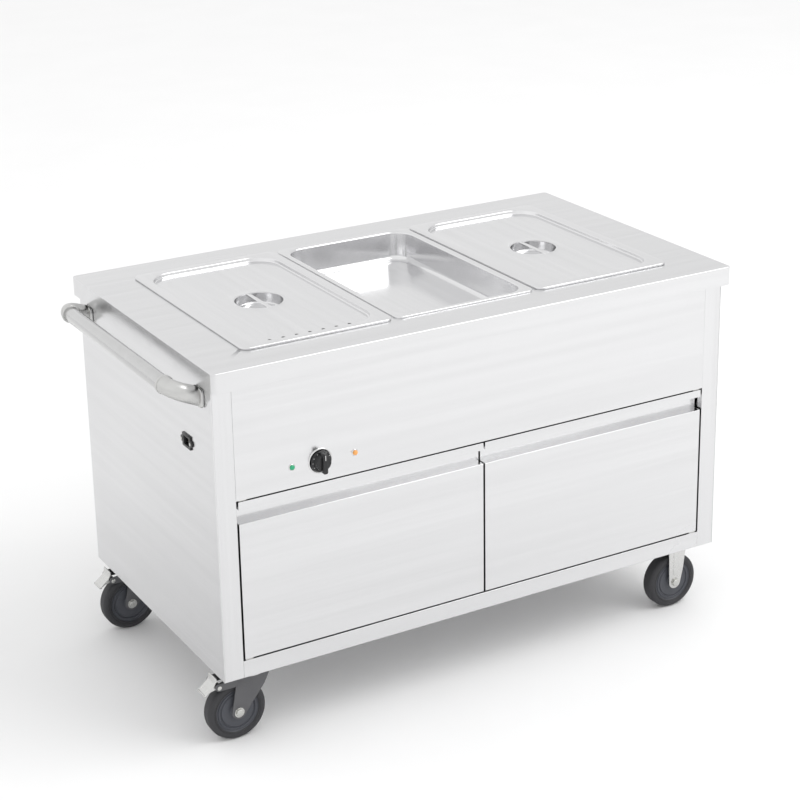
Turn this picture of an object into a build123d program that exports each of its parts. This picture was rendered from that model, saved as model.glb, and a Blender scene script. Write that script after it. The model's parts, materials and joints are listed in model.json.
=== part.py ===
"""Mobile electric steam table: a wheeled stainless cabinet with a heated water bath under three pans.

Frame: origin on the floor, at the middle of the overall box. +X runs along the length, away from
the push handle, -Y is the operator's side with the controls and the doors, +Z is up. Millimetres.
"""
import os
from build123d import *

# ---------------------------------------------------------------- driving dimensions
LENGTH = 1200.0            # worktop, along X
DEPTH = 700.0              # worktop, along Y
HEIGHT = 800.0             # floor to worktop surface
SHEET = 1.5                # worktop and tank sheet
PANEL = 1.5                # body panels
APRON = 40.0               # worktop edge, turned down
APRON_CORNER = 9.0
APRON_BEND = 2.0

SIDE_INSET = 6.0           # worktop overhang at each end
FRONT_INSET = 24.0         # worktop overhang in front and behind
RAIL_HEIGHT = 36.0
RAIL_DEPTH = 30.0
POST_WIDTH = 42.0
TUBE_WALL = 1.5
CONTROL_BOTTOM = 528.0     # lower edge of the control panel

PAN_LENGTH = 530.0         # standard full-size food pan, along Y
PAN_WIDTH = 325.0          # along X
PAN_GAP = 8.0              # between neighbouring pans
PAN_COUNT = 3
PAN_DEPTH = 65.0
PAN_SHEET = 1.2
PAN_RIM_HEIGHT = 3.5       # rolled rim above the worktop
PAN_RIM_CORNER = 16.0
PAN_RIM_WIDTH = 12.0
PAN_CORNER = 52.0
PAN_DRAFT = 4.0            # degrees
PAN_FLOOR_FILLET = 12.0
APERTURE_GAP = 2.0         # pan wall to worktop opening

LID_SHEET = 1.2
LID_LIP = 4.2              # turned-down edge
LID_FIT = 0.6              # lid lip to pan rim
LID_RIM = 20.0             # flat border round the recess
LID_RECESS = 9.0
LID_CORNER = 56.0
LID_CUP_RADIUS = 50.0
LID_CUP_DEPTH = 22.0
LID_BEAD_WIDTH = 6.0
LID_BEAD_HEIGHT = 1.4
GRIP_WIDTH = 10.0
GRIP_THICKNESS = 3.0
STEAM_HOLES = 7
STEAM_HOLE_PITCH = 29.0
STEAM_HOLE_RADIUS = 3.6
STEAM_HOLE_SETBACK = 22.0  # hole row to the recess's front wall

TANK_DEPTH = 170.0
TANK_MARGIN = 6.0          # tank wall outside the outer openings
INSULATION = 25.0
INSULATION_GAP = 1.0
DECK_SHEET = 1.5

ELEMENT_RADIUS = 4.25
ELEMENT_PITCH = 40.0
ELEMENT_LOOPS = 3
ELEMENT_RUN = 620.0
ELEMENT_LIFT = 28.0        # tube axis above the tank floor
ELEMENT_CORE = 3.0         # neck between the flange and the tank wall
ELEMENT_FLANGE = 150.0
ELEMENT_SLOT = 12.0        # height of the tank slot for the tubes

DRAIN_RADIUS = 11.0
DRAIN_BORE = 9.0
DRAIN_FIT = 1.0            # pipe to the holes it passes
DRAIN_SETBACK = 90.0       # drain to the tank's right and back walls
DRAIN_TAIL = 25.0          # outlet below the body
HOSE_RADIUS = 12.5         # outlet where the hose is pushed on
HOSE_GRIP = 20.0           # length that the hose covers
VALVE_SIZE = 34.0
VALVE_HEIGHT = 440.0
VALVE_CHAMFER = 6.0
STEM_RADIUS = 5.0
STEM_LENGTH = 14.0
LEVER_STANDOFF = 6.0       # lever in front of the valve
LEVER_LENGTH = 85.0
LEVER_WIDTH = 20.0
LEVER_THICKNESS = 4.0

DOOR_THICKNESS = 22.0
DOOR_EDGE = 1.2
DOOR_GAP = 4.0
DOOR_LIFT = 3.0            # gap above and below a door
DOOR_LIP = 16.0            # upper lip of the finger channel
CHANNEL_HEIGHT = 30.0
CHANNEL_BACK = 2.5         # sheet left behind the channel
PIVOT_INSET = 10.0         # hinge axis to the door's outer edge
PIVOT_DEPTH = 8.0          # hinge axis behind the door's face
PIVOT_RADIUS = 4.0
PIVOT_ENGAGE = 9.0
PIVOT_END_GAP = 1.0
HINGE_PLATE = 2.5
HINGE_PLATE_WIDTH = 16.0
HINGE_SETBACK = 2.0        # hinge plate behind the door face
RUNNING_FIT = 0.06         # radial clearance of every turning fit
CATCH_LENGTH = 44.0
CATCH_HEIGHT = 14.0
CATCH_DEPTH = 14.0
CATCH_GAP = 0.5

KNOB_FROM_POST = 180.0     # knob axis to the left post
KNOB_HEIGHT = 43.0         # knob axis above the control panel's lower edge
LAMP_OFFSETS = (-61.0, 76.0)        # lamps to the knob axis, along X
LAMP_RADIUS = 7.0
LAMP_THREAD = 5.5
LAMP_DEPTH = 28.0
KNOB_RADIUS = 22.0
KNOB_SKIRT = 4.0
KNOB_DEPTH = 21.0
KNOB_GRIP_WIDTH = 11.0
KNOB_BODY_RADIUS = 17.0
BEZEL_RADIUS = 26.0
BEZEL_THICKNESS = 2.0
BEZEL_GAP = 0.8
SHAFT_RADIUS = 3.0
BUSH_RADIUS = 5.0
BUSH_FIT = 0.3
SHAFT_ENGAGE = 14.0
THERMOSTAT_SIZE = 42.0
THERMOSTAT_DEPTH = 26.0
BULB_RADIUS = 3.0
BULB_LENGTH = 110.0
CAPILLARY_RADIUS = 1.0
CAPILLARY_BEND = 18.0

INLET_FROM_FRONT = 118.0
INLET_HEIGHT = 620.0
INLET_LENGTH = 50.0
INLET_WIDTH = 27.0
INLET_EAR = 13.0           # rounded ends that take the screws
INLET_FLANGE = 3.0
INLET_BODY = (30.0, 22.0, 24.0)     # along Y, along Z, depth
INLET_SOCKET = (24.5, 16.5, 17.0)
INLET_PIN = (2.0, 4.0, 10.0)
INLET_PIN_PITCH = 7.0
INLET_FIT = 0.4
SCREW_PITCH = 40.0
SCREW_RADIUS = 1.75
SCREW_HEAD = 3.2

TERMINAL_SIZE = (70.0, 22.0, 24.0)

HANDLE_STANDOFF = 54.0     # tube axis to the body's side
HANDLE_DROP = 44.0         # tube axis below the worktop surface
HANDLE_RADIUS = 16.0
HANDLE_WALL = 1.5
ELBOW_WALL = 2.5
ELBOW_BEND = 30.0
ELBOW_FROM_FRONT = 50.0    # elbow foot to the body's front and back
ELBOW_SOCKET = 8.0
FOOT_WIDTH = 44.0
FOOT_CORNER = 9.0
FOOT_THICKNESS = 6.0
FOOT_GAP = 7.0             # foot to the worktop's turned-down edge

WHEEL_RADIUS = 62.5
WHEEL_WIDTH = 32.0
TYRE_DEPTH = 16.0
TYRE_EDGE = 7.0
HUB_WIDTH = 28.0
HUB_GROOVE = (36.0, 41.0, 3.0)      # inner radius, outer radius, depth
HUB_BOSS = (15.0, 2.0)              # radius, height
AXLE_RADIUS = 5.0
AXLE_HEAD = (9.0, 5.0)              # radius, height
FORK_WALL = 3.5
FORK_GAP = 3.0             # wheel side to fork leg
LEG_END_RADIUS = 15.0
LEG_TOP = 35.0             # half width of a leg at the crown
CROWN = 4.0
CASTER_HEAD = 29.0         # body underside above the tyres
CROWN_DROP = 10.0          # crown below the caster plate
CASTER_PLATE = (104.0, 84.0, 4.0)
CASTER_BOLT_PITCH = (80.0, 60.0)
CASTER_BOLT = (4.0, 6.6, 5.0)       # shank radius, head radius, head height
RACE_RADIUS = 34.0
RACE_GAP = 0.6
KINGPIN_RADIUS = 6.0
KINGPIN_HEAD = (11.0, 4.0)
CASTER_TRAIL = 33.0
CASTER_FROM_SIDE = 75.0
CASTER_FROM_FRONT = 54.0
PEDAL_REACH = 40.0         # pedal pivot ahead of the axle
PEDAL_PIVOT_RISE = 3.0     # pedal pivot above the tyre
PEDAL_PIVOT_RADIUS = 3.0
PEDAL_EAR_RADIUS = 8.0
PEDAL_WIDTH = 34.0
PEDAL_BOSS = 6.0
PEDAL_PROFILE = ((4, 2), (-2, 20), (-7, 20), (-10, 4), (-30, -12), (-28, -15), (-2, -4))    # from its pivot
PEDAL_PIN_END = 2.0
MEMBER_WIDTH = 110.0

# ---------------------------------------------------------------- worked-out places
PAN_PITCH = PAN_WIDTH + PAN_GAP
BODY_BOTTOM = 2 * WHEEL_RADIUS + CASTER_HEAD
ELBOW_RADIUS = HANDLE_RADIUS + ELBOW_WALL
HANDLE_OVERHANG = HANDLE_STANDOFF + max(HANDLE_RADIUS, ELBOW_RADIUS) - SIDE_INSET
OVERALL_LENGTH = LENGTH + HANDLE_OVERHANG
TOP_LEFT = -OVERALL_LENGTH / 2 + HANDLE_OVERHANG
TOP_RIGHT = TOP_LEFT + LENGTH
MID_X = (TOP_LEFT + TOP_RIGHT) / 2
UNDER_TOP = HEIGHT - SHEET

LEFT = TOP_LEFT + SIDE_INSET
RIGHT = TOP_RIGHT - SIDE_INSET
FRONT = -DEPTH / 2 + FRONT_INSET
BACK = DEPTH / 2 - FRONT_INSET
INNER_LEFT = LEFT + PANEL
INNER_RIGHT = RIGHT - PANEL
INNER_BACK = BACK - PANEL
POST_INNER_LEFT = LEFT + POST_WIDTH
POST_INNER_RIGHT = RIGHT - POST_WIDTH
BAY_WIDTH = POST_INNER_RIGHT - POST_INNER_LEFT
RAIL_TOP = BODY_BOTTOM + RAIL_HEIGHT
FLOOR_TOP = RAIL_TOP

WELL_X = PAN_WIDTH - 2 * PAN_RIM_WIDTH
WELL_Y = PAN_LENGTH - 2 * PAN_RIM_WIDTH
PAN_CENTRES = [MID_X + (i - (PAN_COUNT - 1) / 2) * PAN_PITCH for i in range(PAN_COUNT)]
RIM_TOP = HEIGHT + PAN_RIM_HEIGHT
LID_TOP = RIM_TOP + LID_SHEET
LID_X = PAN_WIDTH + 2 * (LID_FIT + LID_SHEET)
LID_Y = PAN_LENGTH + 2 * (LID_FIT + LID_SHEET)
LID_FLOOR = LID_TOP - LID_RECESS

TANK_X = (PAN_COUNT - 1) * PAN_PITCH + WELL_X + 2 * (APERTURE_GAP + TANK_MARGIN)
TANK_Y = WELL_Y + 2 * (APERTURE_GAP + TANK_MARGIN)
TANK_BOTTOM = UNDER_TOP - TANK_DEPTH
TANK_LEFT = MID_X - TANK_X / 2
TANK_RIGHT = MID_X + TANK_X / 2
TANK_FRONT = -TANK_Y / 2
DECK_Z = CONTROL_BOTTOM

DRAIN_X = TANK_RIGHT - DRAIN_SETBACK
DRAIN_Y = TANK_Y / 2 - DRAIN_SETBACK

DOOR_WIDTH = (BAY_WIDTH - 3 * DOOR_GAP) / 2
DOOR_BOTTOM = RAIL_TOP + DOOR_LIFT
DOOR_TOP = CONTROL_BOTTOM - DOOR_LIFT
CHANNEL_TOP = DOOR_TOP - DOOR_LIP
CHANNEL_BOTTOM = CHANNEL_TOP - CHANNEL_HEIGHT
PIVOT_Y = FRONT + PIVOT_DEPTH
LEFT_DOOR = POST_INNER_LEFT + DOOR_GAP
RIGHT_DOOR = LEFT_DOOR + DOOR_WIDTH + DOOR_GAP
PIVOTS = [LEFT_DOOR + PIVOT_INSET, RIGHT_DOOR + DOOR_WIDTH - PIVOT_INSET]

KNOB_X = POST_INNER_LEFT + KNOB_FROM_POST
KNOB_Z = CONTROL_BOTTOM + KNOB_HEIGHT
LAMP_XS = [KNOB_X + offset for offset in LAMP_OFFSETS]

HANDLE_X = LEFT - HANDLE_STANDOFF
HANDLE_Z = HEIGHT - HANDLE_DROP
FOOT_HEIGHT = 2 * ELBOW_RADIUS + 1
FOOT_Z = HEIGHT - APRON - FOOT_GAP - FOOT_HEIGHT / 2
FOOT_YS = [FRONT + ELBOW_FROM_FRONT, BACK - ELBOW_FROM_FRONT]
TUBE_HALF = FOOT_YS[1] - ELBOW_BEND - ELBOW_SOCKET

LEG_Y = WHEEL_WIDTH / 2 + FORK_GAP + FORK_WALL / 2
FORK_OUTER = LEG_Y + FORK_WALL / 2
CASTER_YS = [FRONT + CASTER_FROM_FRONT, BACK - CASTER_FROM_FRONT]
SWIVEL_X = LEFT + CASTER_FROM_SIDE
FIXED_X = RIGHT - CASTER_FROM_SIDE
AXLE_X = SWIVEL_X - CASTER_TRAIL
PLATE_BOTTOM = BODY_BOTTOM - CASTER_PLATE[2]
CROWN_TOP = PLATE_BOTTOM - CROWN_DROP
PEDAL_X = AXLE_X - PEDAL_REACH
PEDAL_Z = 2 * WHEEL_RADIUS + PEDAL_PIVOT_RISE

os.makedirs("parts", exist_ok=True)
NODES = []


def save(builder, node):
    """Label a finished piece and write it as its own STEP file."""
    builder.part.label = node
    NODES.append(node)
    export_step(builder.part, f"parts/{node}.step")


def block(x0, x1, y0, y1, z0, z1, mode=Mode.ADD):
    """A box between two corners, added to the part being built."""
    with Locations(((x0 + x1) / 2, (y0 + y1) / 2, (z0 + z1) / 2)):
        Box(x1 - x0, y1 - y0, z1 - z0, mode=mode)


def rod(point, direction, radius, length, mode=Mode.ADD):
    """A round bar that starts at a point and runs along a direction."""
    with BuildSketch(Plane(origin=point, z_dir=direction)) as section:
        Circle(radius)
    extrude(section.sketch, amount=length, mode=mode)


# ---------------------------------------------------------------- worktop and water bath
with BuildPart() as worktop:
    with BuildSketch(Plane.XY.offset(HEIGHT)):
        with Locations((MID_X, 0)):
            RectangleRounded(LENGTH, DEPTH, APRON_CORNER)
    extrude(amount=-APRON)
    fillet(worktop.faces().sort_by(Axis.Z)[-1].edges(), APRON_BEND)
    with BuildSketch(Plane.XY.offset(UNDER_TOP)):
        with Locations((MID_X, 0)):
            RectangleRounded(LENGTH - 2 * SHEET, DEPTH - 2 * SHEET, APRON_CORNER - SHEET)
    extrude(amount=-APRON, mode=Mode.SUBTRACT)
    with BuildSketch(Plane.XY.offset(HEIGHT)):
        with Locations(*[(x, 0) for x in PAN_CENTRES]):
            RectangleRounded(WELL_X + 2 * APERTURE_GAP, WELL_Y + 2 * APERTURE_GAP, PAN_CORNER + APERTURE_GAP)
    extrude(amount=-2 * SHEET, mode=Mode.SUBTRACT)
save(worktop, "worktop")

with BuildPart() as tank:
    block(TANK_LEFT, TANK_RIGHT, TANK_FRONT, -TANK_FRONT, TANK_BOTTOM, UNDER_TOP)
    block(TANK_LEFT + SHEET, TANK_RIGHT - SHEET, TANK_FRONT + SHEET, -TANK_FRONT - SHEET,
          TANK_BOTTOM + SHEET, UNDER_TOP, mode=Mode.SUBTRACT)
    with Locations((DRAIN_X, DRAIN_Y, TANK_BOTTOM + SHEET / 2)):
        Cylinder(DRAIN_RADIUS, 2 * SHEET, mode=Mode.SUBTRACT)
    block(TANK_LEFT - SHEET, TANK_LEFT + 2 * SHEET, -ELEMENT_FLANGE / 2 + ELEMENT_SLOT,
          ELEMENT_FLANGE / 2 - ELEMENT_SLOT, TANK_BOTTOM + ELEMENT_LIFT - ELEMENT_SLOT / 2,
          TANK_BOTTOM + ELEMENT_LIFT + ELEMENT_SLOT / 2, mode=Mode.SUBTRACT)
save(tank, "water_tank")

with BuildPart() as insulation:
    blanket_top = TANK_BOTTOM - INSULATION_GAP
    side_left = TANK_LEFT - INSULATION_GAP
    side_right = TANK_RIGHT + INSULATION_GAP
    side_back = -TANK_FRONT + INSULATION_GAP
    block(TANK_LEFT, TANK_RIGHT, TANK_FRONT, -TANK_FRONT, blanket_top - INSULATION, blanket_top)
    with Locations((DRAIN_X, DRAIN_Y, blanket_top - INSULATION / 2)):
        Cylinder(DRAIN_RADIUS + DRAIN_FIT, INSULATION, mode=Mode.SUBTRACT)
    block(side_right, side_right + INSULATION, TANK_FRONT, -TANK_FRONT, TANK_BOTTOM, UNDER_TOP)
    block(TANK_LEFT, TANK_RIGHT, side_back, side_back + INSULATION, TANK_BOTTOM, UNDER_TOP)
    flange_clear = ELEMENT_FLANGE / 2 + INSULATION_GAP
    block(side_left - INSULATION, side_left, flange_clear, -TANK_FRONT, TANK_BOTTOM, UNDER_TOP)
    block(side_left - INSULATION, side_left, TANK_FRONT, -flange_clear, TANK_BOTTOM, UNDER_TOP)
save(insulation, "tank_insulation")

with BuildPart() as element:
    for loop in range(ELEMENT_LOOPS):
        middle = (loop - (ELEMENT_LOOPS - 1) / 2) * ELEMENT_PITCH
        near = middle - ELEMENT_PITCH / 4
        far = middle + ELEMENT_PITCH / 4
        level = TANK_BOTTOM + ELEMENT_LIFT
        start = TANK_LEFT
        end = start + ELEMENT_RUN
        with BuildLine() as loop_path:
            Line((start, near, level), (end, near, level))
            ThreePointArc((end, near, level), (end + ELEMENT_PITCH / 4, middle, level), (end, far, level))
            Line((end, far, level), (start, far, level))
        with BuildSketch(Plane(origin=(start, near, level), z_dir=(1, 0, 0))):
            Circle(ELEMENT_RADIUS)
        sweep(path=loop_path.line)
    block(TANK_LEFT - ELEMENT_CORE, TANK_LEFT, -ELEMENT_FLANGE / 2, ELEMENT_FLANGE / 2,
          TANK_BOTTOM + ELEMENT_LIFT - ELEMENT_PITCH / 2, TANK_BOTTOM + ELEMENT_LIFT + ELEMENT_PITCH / 2)
save(element, "heating_element")

# ---------------------------------------------------------------- body shell
with BuildPart() as left_panel:
    block(LEFT, INNER_LEFT, FRONT, BACK, BODY_BOTTOM, UNDER_TOP)
    inlet_y = FRONT + INLET_FROM_FRONT
    hole_y = INLET_BODY[0] / 2 + INLET_FIT
    hole_z = INLET_BODY[1] / 2 + INLET_FIT
    block(LEFT - PANEL, INNER_LEFT + PANEL, inlet_y - hole_y, inlet_y + hole_y,
          INLET_HEIGHT - hole_z, INLET_HEIGHT + hole_z, mode=Mode.SUBTRACT)
    for offset in (-SCREW_PITCH / 2, SCREW_PITCH / 2):
        rod((LEFT - PANEL, inlet_y + offset, INLET_HEIGHT), (1, 0, 0), SCREW_RADIUS, 3 * PANEL,
            mode=Mode.SUBTRACT)
save(left_panel, "left_side_panel")

with BuildPart() as right_panel:
    block(INNER_RIGHT, RIGHT, FRONT, BACK, BODY_BOTTOM, UNDER_TOP)
save(right_panel, "right_side_panel")

with BuildPart() as back_panel:
    block(INNER_LEFT, INNER_RIGHT, INNER_BACK, BACK, BODY_BOTTOM, UNDER_TOP)
save(back_panel, "back_panel")


def square_tube(x0, x1, y0, y1, z0, z1, along):
    """A rectangular tube, open at both ends, along X, Y or Z."""
    block(x0, x1, y0, y1, z0, z1)
    wall = {axis: 0 if axis == along else TUBE_WALL for axis in "XYZ"}
    block(x0 + wall["X"], x1 - wall["X"], y0 + wall["Y"], y1 - wall["Y"], z0 + wall["Z"], z1 - wall["Z"],
          mode=Mode.SUBTRACT)


for node, x0 in (("left_post", INNER_LEFT), ("right_post", POST_INNER_RIGHT)):
    x1 = x0 + POST_WIDTH - PANEL
    with BuildPart() as post:
        square_tube(x0, x1, FRONT, FRONT + RAIL_DEPTH, BODY_BOTTOM, UNDER_TOP, "Z")
    save(post, node)

with BuildPart() as front_rail:
    square_tube(POST_INNER_LEFT, POST_INNER_RIGHT, FRONT, FRONT + RAIL_DEPTH, BODY_BOTTOM, RAIL_TOP, "X")
save(front_rail, "front_rail")

with BuildPart() as rear_rail:
    square_tube(INNER_LEFT, INNER_RIGHT, INNER_BACK - RAIL_DEPTH, INNER_BACK, BODY_BOTTOM,
                FLOOR_TOP - PANEL, "X")
save(rear_rail, "rear_rail")

with BuildPart() as floor_panel:
    block(INNER_LEFT, INNER_RIGHT, FRONT + RAIL_DEPTH, INNER_BACK, FLOOR_TOP - PANEL, FLOOR_TOP)
    with Locations((DRAIN_X, DRAIN_Y, FLOOR_TOP - PANEL / 2)):
        Cylinder(DRAIN_RADIUS + DRAIN_FIT, 2 * PANEL, mode=Mode.SUBTRACT)
save(floor_panel, "cupboard_floor")

with BuildPart() as cross_members:
    for centre in (SWIVEL_X, FIXED_X):
        member_left, member_right = centre - MEMBER_WIDTH / 2, centre + MEMBER_WIDTH / 2
        block(member_left, member_right, FRONT + RAIL_DEPTH, INNER_BACK - RAIL_DEPTH, BODY_BOTTOM,
              FLOOR_TOP - PANEL)
        block(member_left + TUBE_WALL, member_right - TUBE_WALL, FRONT + RAIL_DEPTH, INNER_BACK - RAIL_DEPTH,
              BODY_BOTTOM + TUBE_WALL, FLOOR_TOP - PANEL - TUBE_WALL, mode=Mode.SUBTRACT)
save(cross_members, "cross_members")

with BuildPart() as deck:
    block(INNER_LEFT, INNER_RIGHT, FRONT + RAIL_DEPTH, INNER_BACK, DECK_Z, DECK_Z + DECK_SHEET)
    with Locations((DRAIN_X, DRAIN_Y, DECK_Z + DECK_SHEET / 2)):
        Cylinder(DRAIN_RADIUS + DRAIN_FIT, 2 * DECK_SHEET, mode=Mode.SUBTRACT)
save(deck, "cupboard_ceiling")

# ---------------------------------------------------------------- controls
with BuildPart() as control_panel:
    block(POST_INNER_LEFT, POST_INNER_RIGHT, FRONT, FRONT + PANEL, CONTROL_BOTTOM, UNDER_TOP)
    block(POST_INNER_LEFT, POST_INNER_RIGHT, FRONT, FRONT + RAIL_DEPTH, CONTROL_BOTTOM,
          CONTROL_BOTTOM + PANEL)
    rod((KNOB_X, FRONT - PANEL, KNOB_Z), (0, 1, 0), BUSH_RADIUS, 3 * PANEL, mode=Mode.SUBTRACT)
    for lamp_x in LAMP_XS:
        rod((lamp_x, FRONT - PANEL, KNOB_Z), (0, 1, 0), LAMP_THREAD, 3 * PANEL, mode=Mode.SUBTRACT)
save(control_panel, "control_panel")

for node, lamp_x in zip(("heating_lamp_lens", "power_lamp_lens"), LAMP_XS):
    with BuildPart() as lens:
        rod((lamp_x, FRONT, KNOB_Z), (0, -1, 0), LAMP_RADIUS, PANEL)
        with Locations((lamp_x, FRONT - PANEL, KNOB_Z)):
            Sphere(LAMP_THREAD)
        block(lamp_x - LAMP_RADIUS, lamp_x + LAMP_RADIUS, FRONT, FRONT + LAMP_RADIUS,
              KNOB_Z - LAMP_RADIUS, KNOB_Z + LAMP_RADIUS, mode=Mode.SUBTRACT)
    save(lens, node)

with BuildPart() as lamp_holders:
    for lamp_x in LAMP_XS:
        rod((lamp_x, FRONT, KNOB_Z), (0, 1, 0), LAMP_THREAD, LAMP_DEPTH)
        rod((lamp_x, FRONT + PANEL, KNOB_Z), (0, 1, 0), LAMP_RADIUS, 2 * PANEL)
save(lamp_holders, "lamp_holders")

with BuildPart() as bezel:
    rod((KNOB_X, FRONT, KNOB_Z), (0, -1, 0), BEZEL_RADIUS, BEZEL_THICKNESS)
    rod((KNOB_X, FRONT, KNOB_Z), (0, -1, 0), BUSH_RADIUS + BUSH_FIT, BEZEL_THICKNESS, mode=Mode.SUBTRACT)
    outer_edges = bezel.edges().filter_by(GeomType.CIRCLE).group_by(SortBy.RADIUS)[-1]
    fillet(outer_edges.sort_by(Axis.Y)[0], BEZEL_THICKNESS / 2)
save(bezel, "knob_bezel")

with BuildPart() as thermostat:
    block(KNOB_X - THERMOSTAT_SIZE / 2, KNOB_X + THERMOSTAT_SIZE / 2, FRONT + 2 * PANEL,
          FRONT + 2 * PANEL + THERMOSTAT_DEPTH, KNOB_Z - THERMOSTAT_SIZE / 2, KNOB_Z + THERMOSTAT_SIZE / 2)
    rod((KNOB_X, FRONT - BEZEL_THICKNESS, KNOB_Z), (0, 1, 0), BUSH_RADIUS, BEZEL_THICKNESS + 3 * PANEL)
    rod((KNOB_X, FRONT - BEZEL_THICKNESS, KNOB_Z), (0, 1, 0), SHAFT_RADIUS + RUNNING_FIT,
        SHAFT_ENGAGE + BUSH_FIT,
        mode=Mode.SUBTRACT)
save(thermostat, "thermostat")

with BuildPart() as knob:
    knob_back = FRONT - BEZEL_THICKNESS - BEZEL_GAP
    rod((KNOB_X, knob_back, KNOB_Z), (0, -1, 0), KNOB_RADIUS, KNOB_SKIRT)
    rod((KNOB_X, knob_back, KNOB_Z), (0, -1, 0), KNOB_BODY_RADIUS, KNOB_DEPTH - KNOB_GRIP_WIDTH / 2)
    block(KNOB_X - KNOB_GRIP_WIDTH / 2, KNOB_X + KNOB_GRIP_WIDTH / 2, knob_back - KNOB_DEPTH, knob_back,
          KNOB_Z - KNOB_RADIUS, KNOB_Z + KNOB_RADIUS)
    fillet(knob.faces().sort_by(Axis.Y)[0].edges(), 1.5)
    rod((KNOB_X, knob_back, KNOB_Z), (0, 1, 0), SHAFT_RADIUS, SHAFT_ENGAGE + BEZEL_GAP)
save(knob, "knob")

with BuildPart() as bulb:
    bulb_y = TANK_FRONT - BULB_RADIUS
    bulb_z = TANK_BOTTOM + ELEMENT_LIFT
    bulb_x = KNOB_X + THERMOSTAT_SIZE
    rod((bulb_x, bulb_y, bulb_z), (1, 0, 0), BULB_RADIUS, BULB_LENGTH)
    outlet_y = FRONT + 2 * PANEL + THERMOSTAT_DEPTH
    with BuildLine() as capillary:
        FilletPolyline((KNOB_X, outlet_y, KNOB_Z), (KNOB_X, bulb_y, KNOB_Z),
                       (KNOB_X, bulb_y, bulb_z), (bulb_x, bulb_y, bulb_z),
                       radius=min(CAPILLARY_BEND, (bulb_y - outlet_y) * 0.6, (bulb_z - KNOB_Z) * 0.4))
    with BuildSketch(Plane(origin=(KNOB_X, outlet_y, KNOB_Z), z_dir=(0, 1, 0))):
        Circle(CAPILLARY_RADIUS)
    sweep(path=capillary.line)
save(bulb, "thermostat_bulb")

with BuildPart() as terminal_block:
    block(POST_INNER_LEFT, POST_INNER_LEFT + TERMINAL_SIZE[0], -TERMINAL_SIZE[1] / 2, TERMINAL_SIZE[1] / 2,
          DECK_Z + DECK_SHEET, DECK_Z + DECK_SHEET + TERMINAL_SIZE[2])
    fillet(terminal_block.faces().sort_by(Axis.Z)[-1].edges(), 2)
save(terminal_block, "terminal_block")

with BuildPart() as inlet:
    flange_x = LEFT - INLET_FLANGE
    with BuildSketch(Plane(origin=(LEFT, inlet_y, INLET_HEIGHT), x_dir=(0, 1, 0), z_dir=(-1, 0, 0))):
        SlotCenterToCenter(SCREW_PITCH, INLET_EAR)
        Rectangle(INLET_LENGTH - INLET_EAR, INLET_WIDTH)
    extrude(amount=INLET_FLANGE)
    block(LEFT, LEFT + INLET_BODY[2], inlet_y - INLET_BODY[0] / 2, inlet_y + INLET_BODY[0] / 2,
          INLET_HEIGHT - INLET_BODY[1] / 2, INLET_HEIGHT + INLET_BODY[1] / 2)
    block(flange_x, flange_x + INLET_SOCKET[2], inlet_y - INLET_SOCKET[0] / 2, inlet_y + INLET_SOCKET[0] / 2,
          INLET_HEIGHT - INLET_SOCKET[1] / 2, INLET_HEIGHT + INLET_SOCKET[1] / 2, mode=Mode.SUBTRACT)
    for offset in (-SCREW_PITCH / 2, SCREW_PITCH / 2):
        rod((flange_x - PANEL, inlet_y + offset, INLET_HEIGHT), (1, 0, 0), SCREW_RADIUS,
            INLET_FLANGE + 2 * PANEL,
            mode=Mode.SUBTRACT)
save(inlet, "power_inlet")

with BuildPart() as inlet_pins:
    pin_x = flange_x + INLET_SOCKET[2]
    for step in (-1, 0, 1):
        pin_y = inlet_y + step * INLET_PIN_PITCH
        pin_z = INLET_HEIGHT + (2 if step == 0 else -2)
        block(pin_x - INLET_PIN[2], pin_x, pin_y - INLET_PIN[0] / 2, pin_y + INLET_PIN[0] / 2,
              pin_z - INLET_PIN[1] / 2, pin_z + INLET_PIN[1] / 2)
save(inlet_pins, "inlet_pins")

with BuildPart() as inlet_screws:
    for offset in (-SCREW_PITCH / 2, SCREW_PITCH / 2):
        rod((flange_x, inlet_y + offset, INLET_HEIGHT), (1, 0, 0), SCREW_RADIUS, INLET_FLANGE + 3 * PANEL)
        rod((flange_x, inlet_y + offset, INLET_HEIGHT), (-1, 0, 0), SCREW_HEAD, PANEL)
save(inlet_screws, "inlet_screws")

# ---------------------------------------------------------------- drain
with BuildPart() as drain_pipe:
    rod((DRAIN_X, DRAIN_Y, VALVE_HEIGHT), (0, 0, 1), DRAIN_RADIUS, TANK_BOTTOM + SHEET - VALVE_HEIGHT)
    rod((DRAIN_X, DRAIN_Y, VALVE_HEIGHT), (0, 0, 1), DRAIN_BORE, TANK_BOTTOM + SHEET - VALVE_HEIGHT,
        mode=Mode.SUBTRACT)
save(drain_pipe, "drain_pipe")

with BuildPart() as valve:
    block(DRAIN_X - VALVE_SIZE / 2, DRAIN_X + VALVE_SIZE / 2, DRAIN_Y - VALVE_SIZE / 2,
          DRAIN_Y + VALVE_SIZE / 2,
          VALVE_HEIGHT - VALVE_SIZE, VALVE_HEIGHT)
    chamfer(valve.edges().filter_by(Axis.Z), VALVE_CHAMFER)
    rod((DRAIN_X, DRAIN_Y, VALVE_HEIGHT - VALVE_SIZE), (0, 0, 1), DRAIN_BORE, VALVE_SIZE, mode=Mode.SUBTRACT)
    rod((DRAIN_X, DRAIN_Y - VALVE_SIZE / 2, VALVE_HEIGHT - VALVE_SIZE / 2), (0, -1, 0), STEM_RADIUS,
        STEM_LENGTH)
save(valve, "drain_valve")

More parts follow.
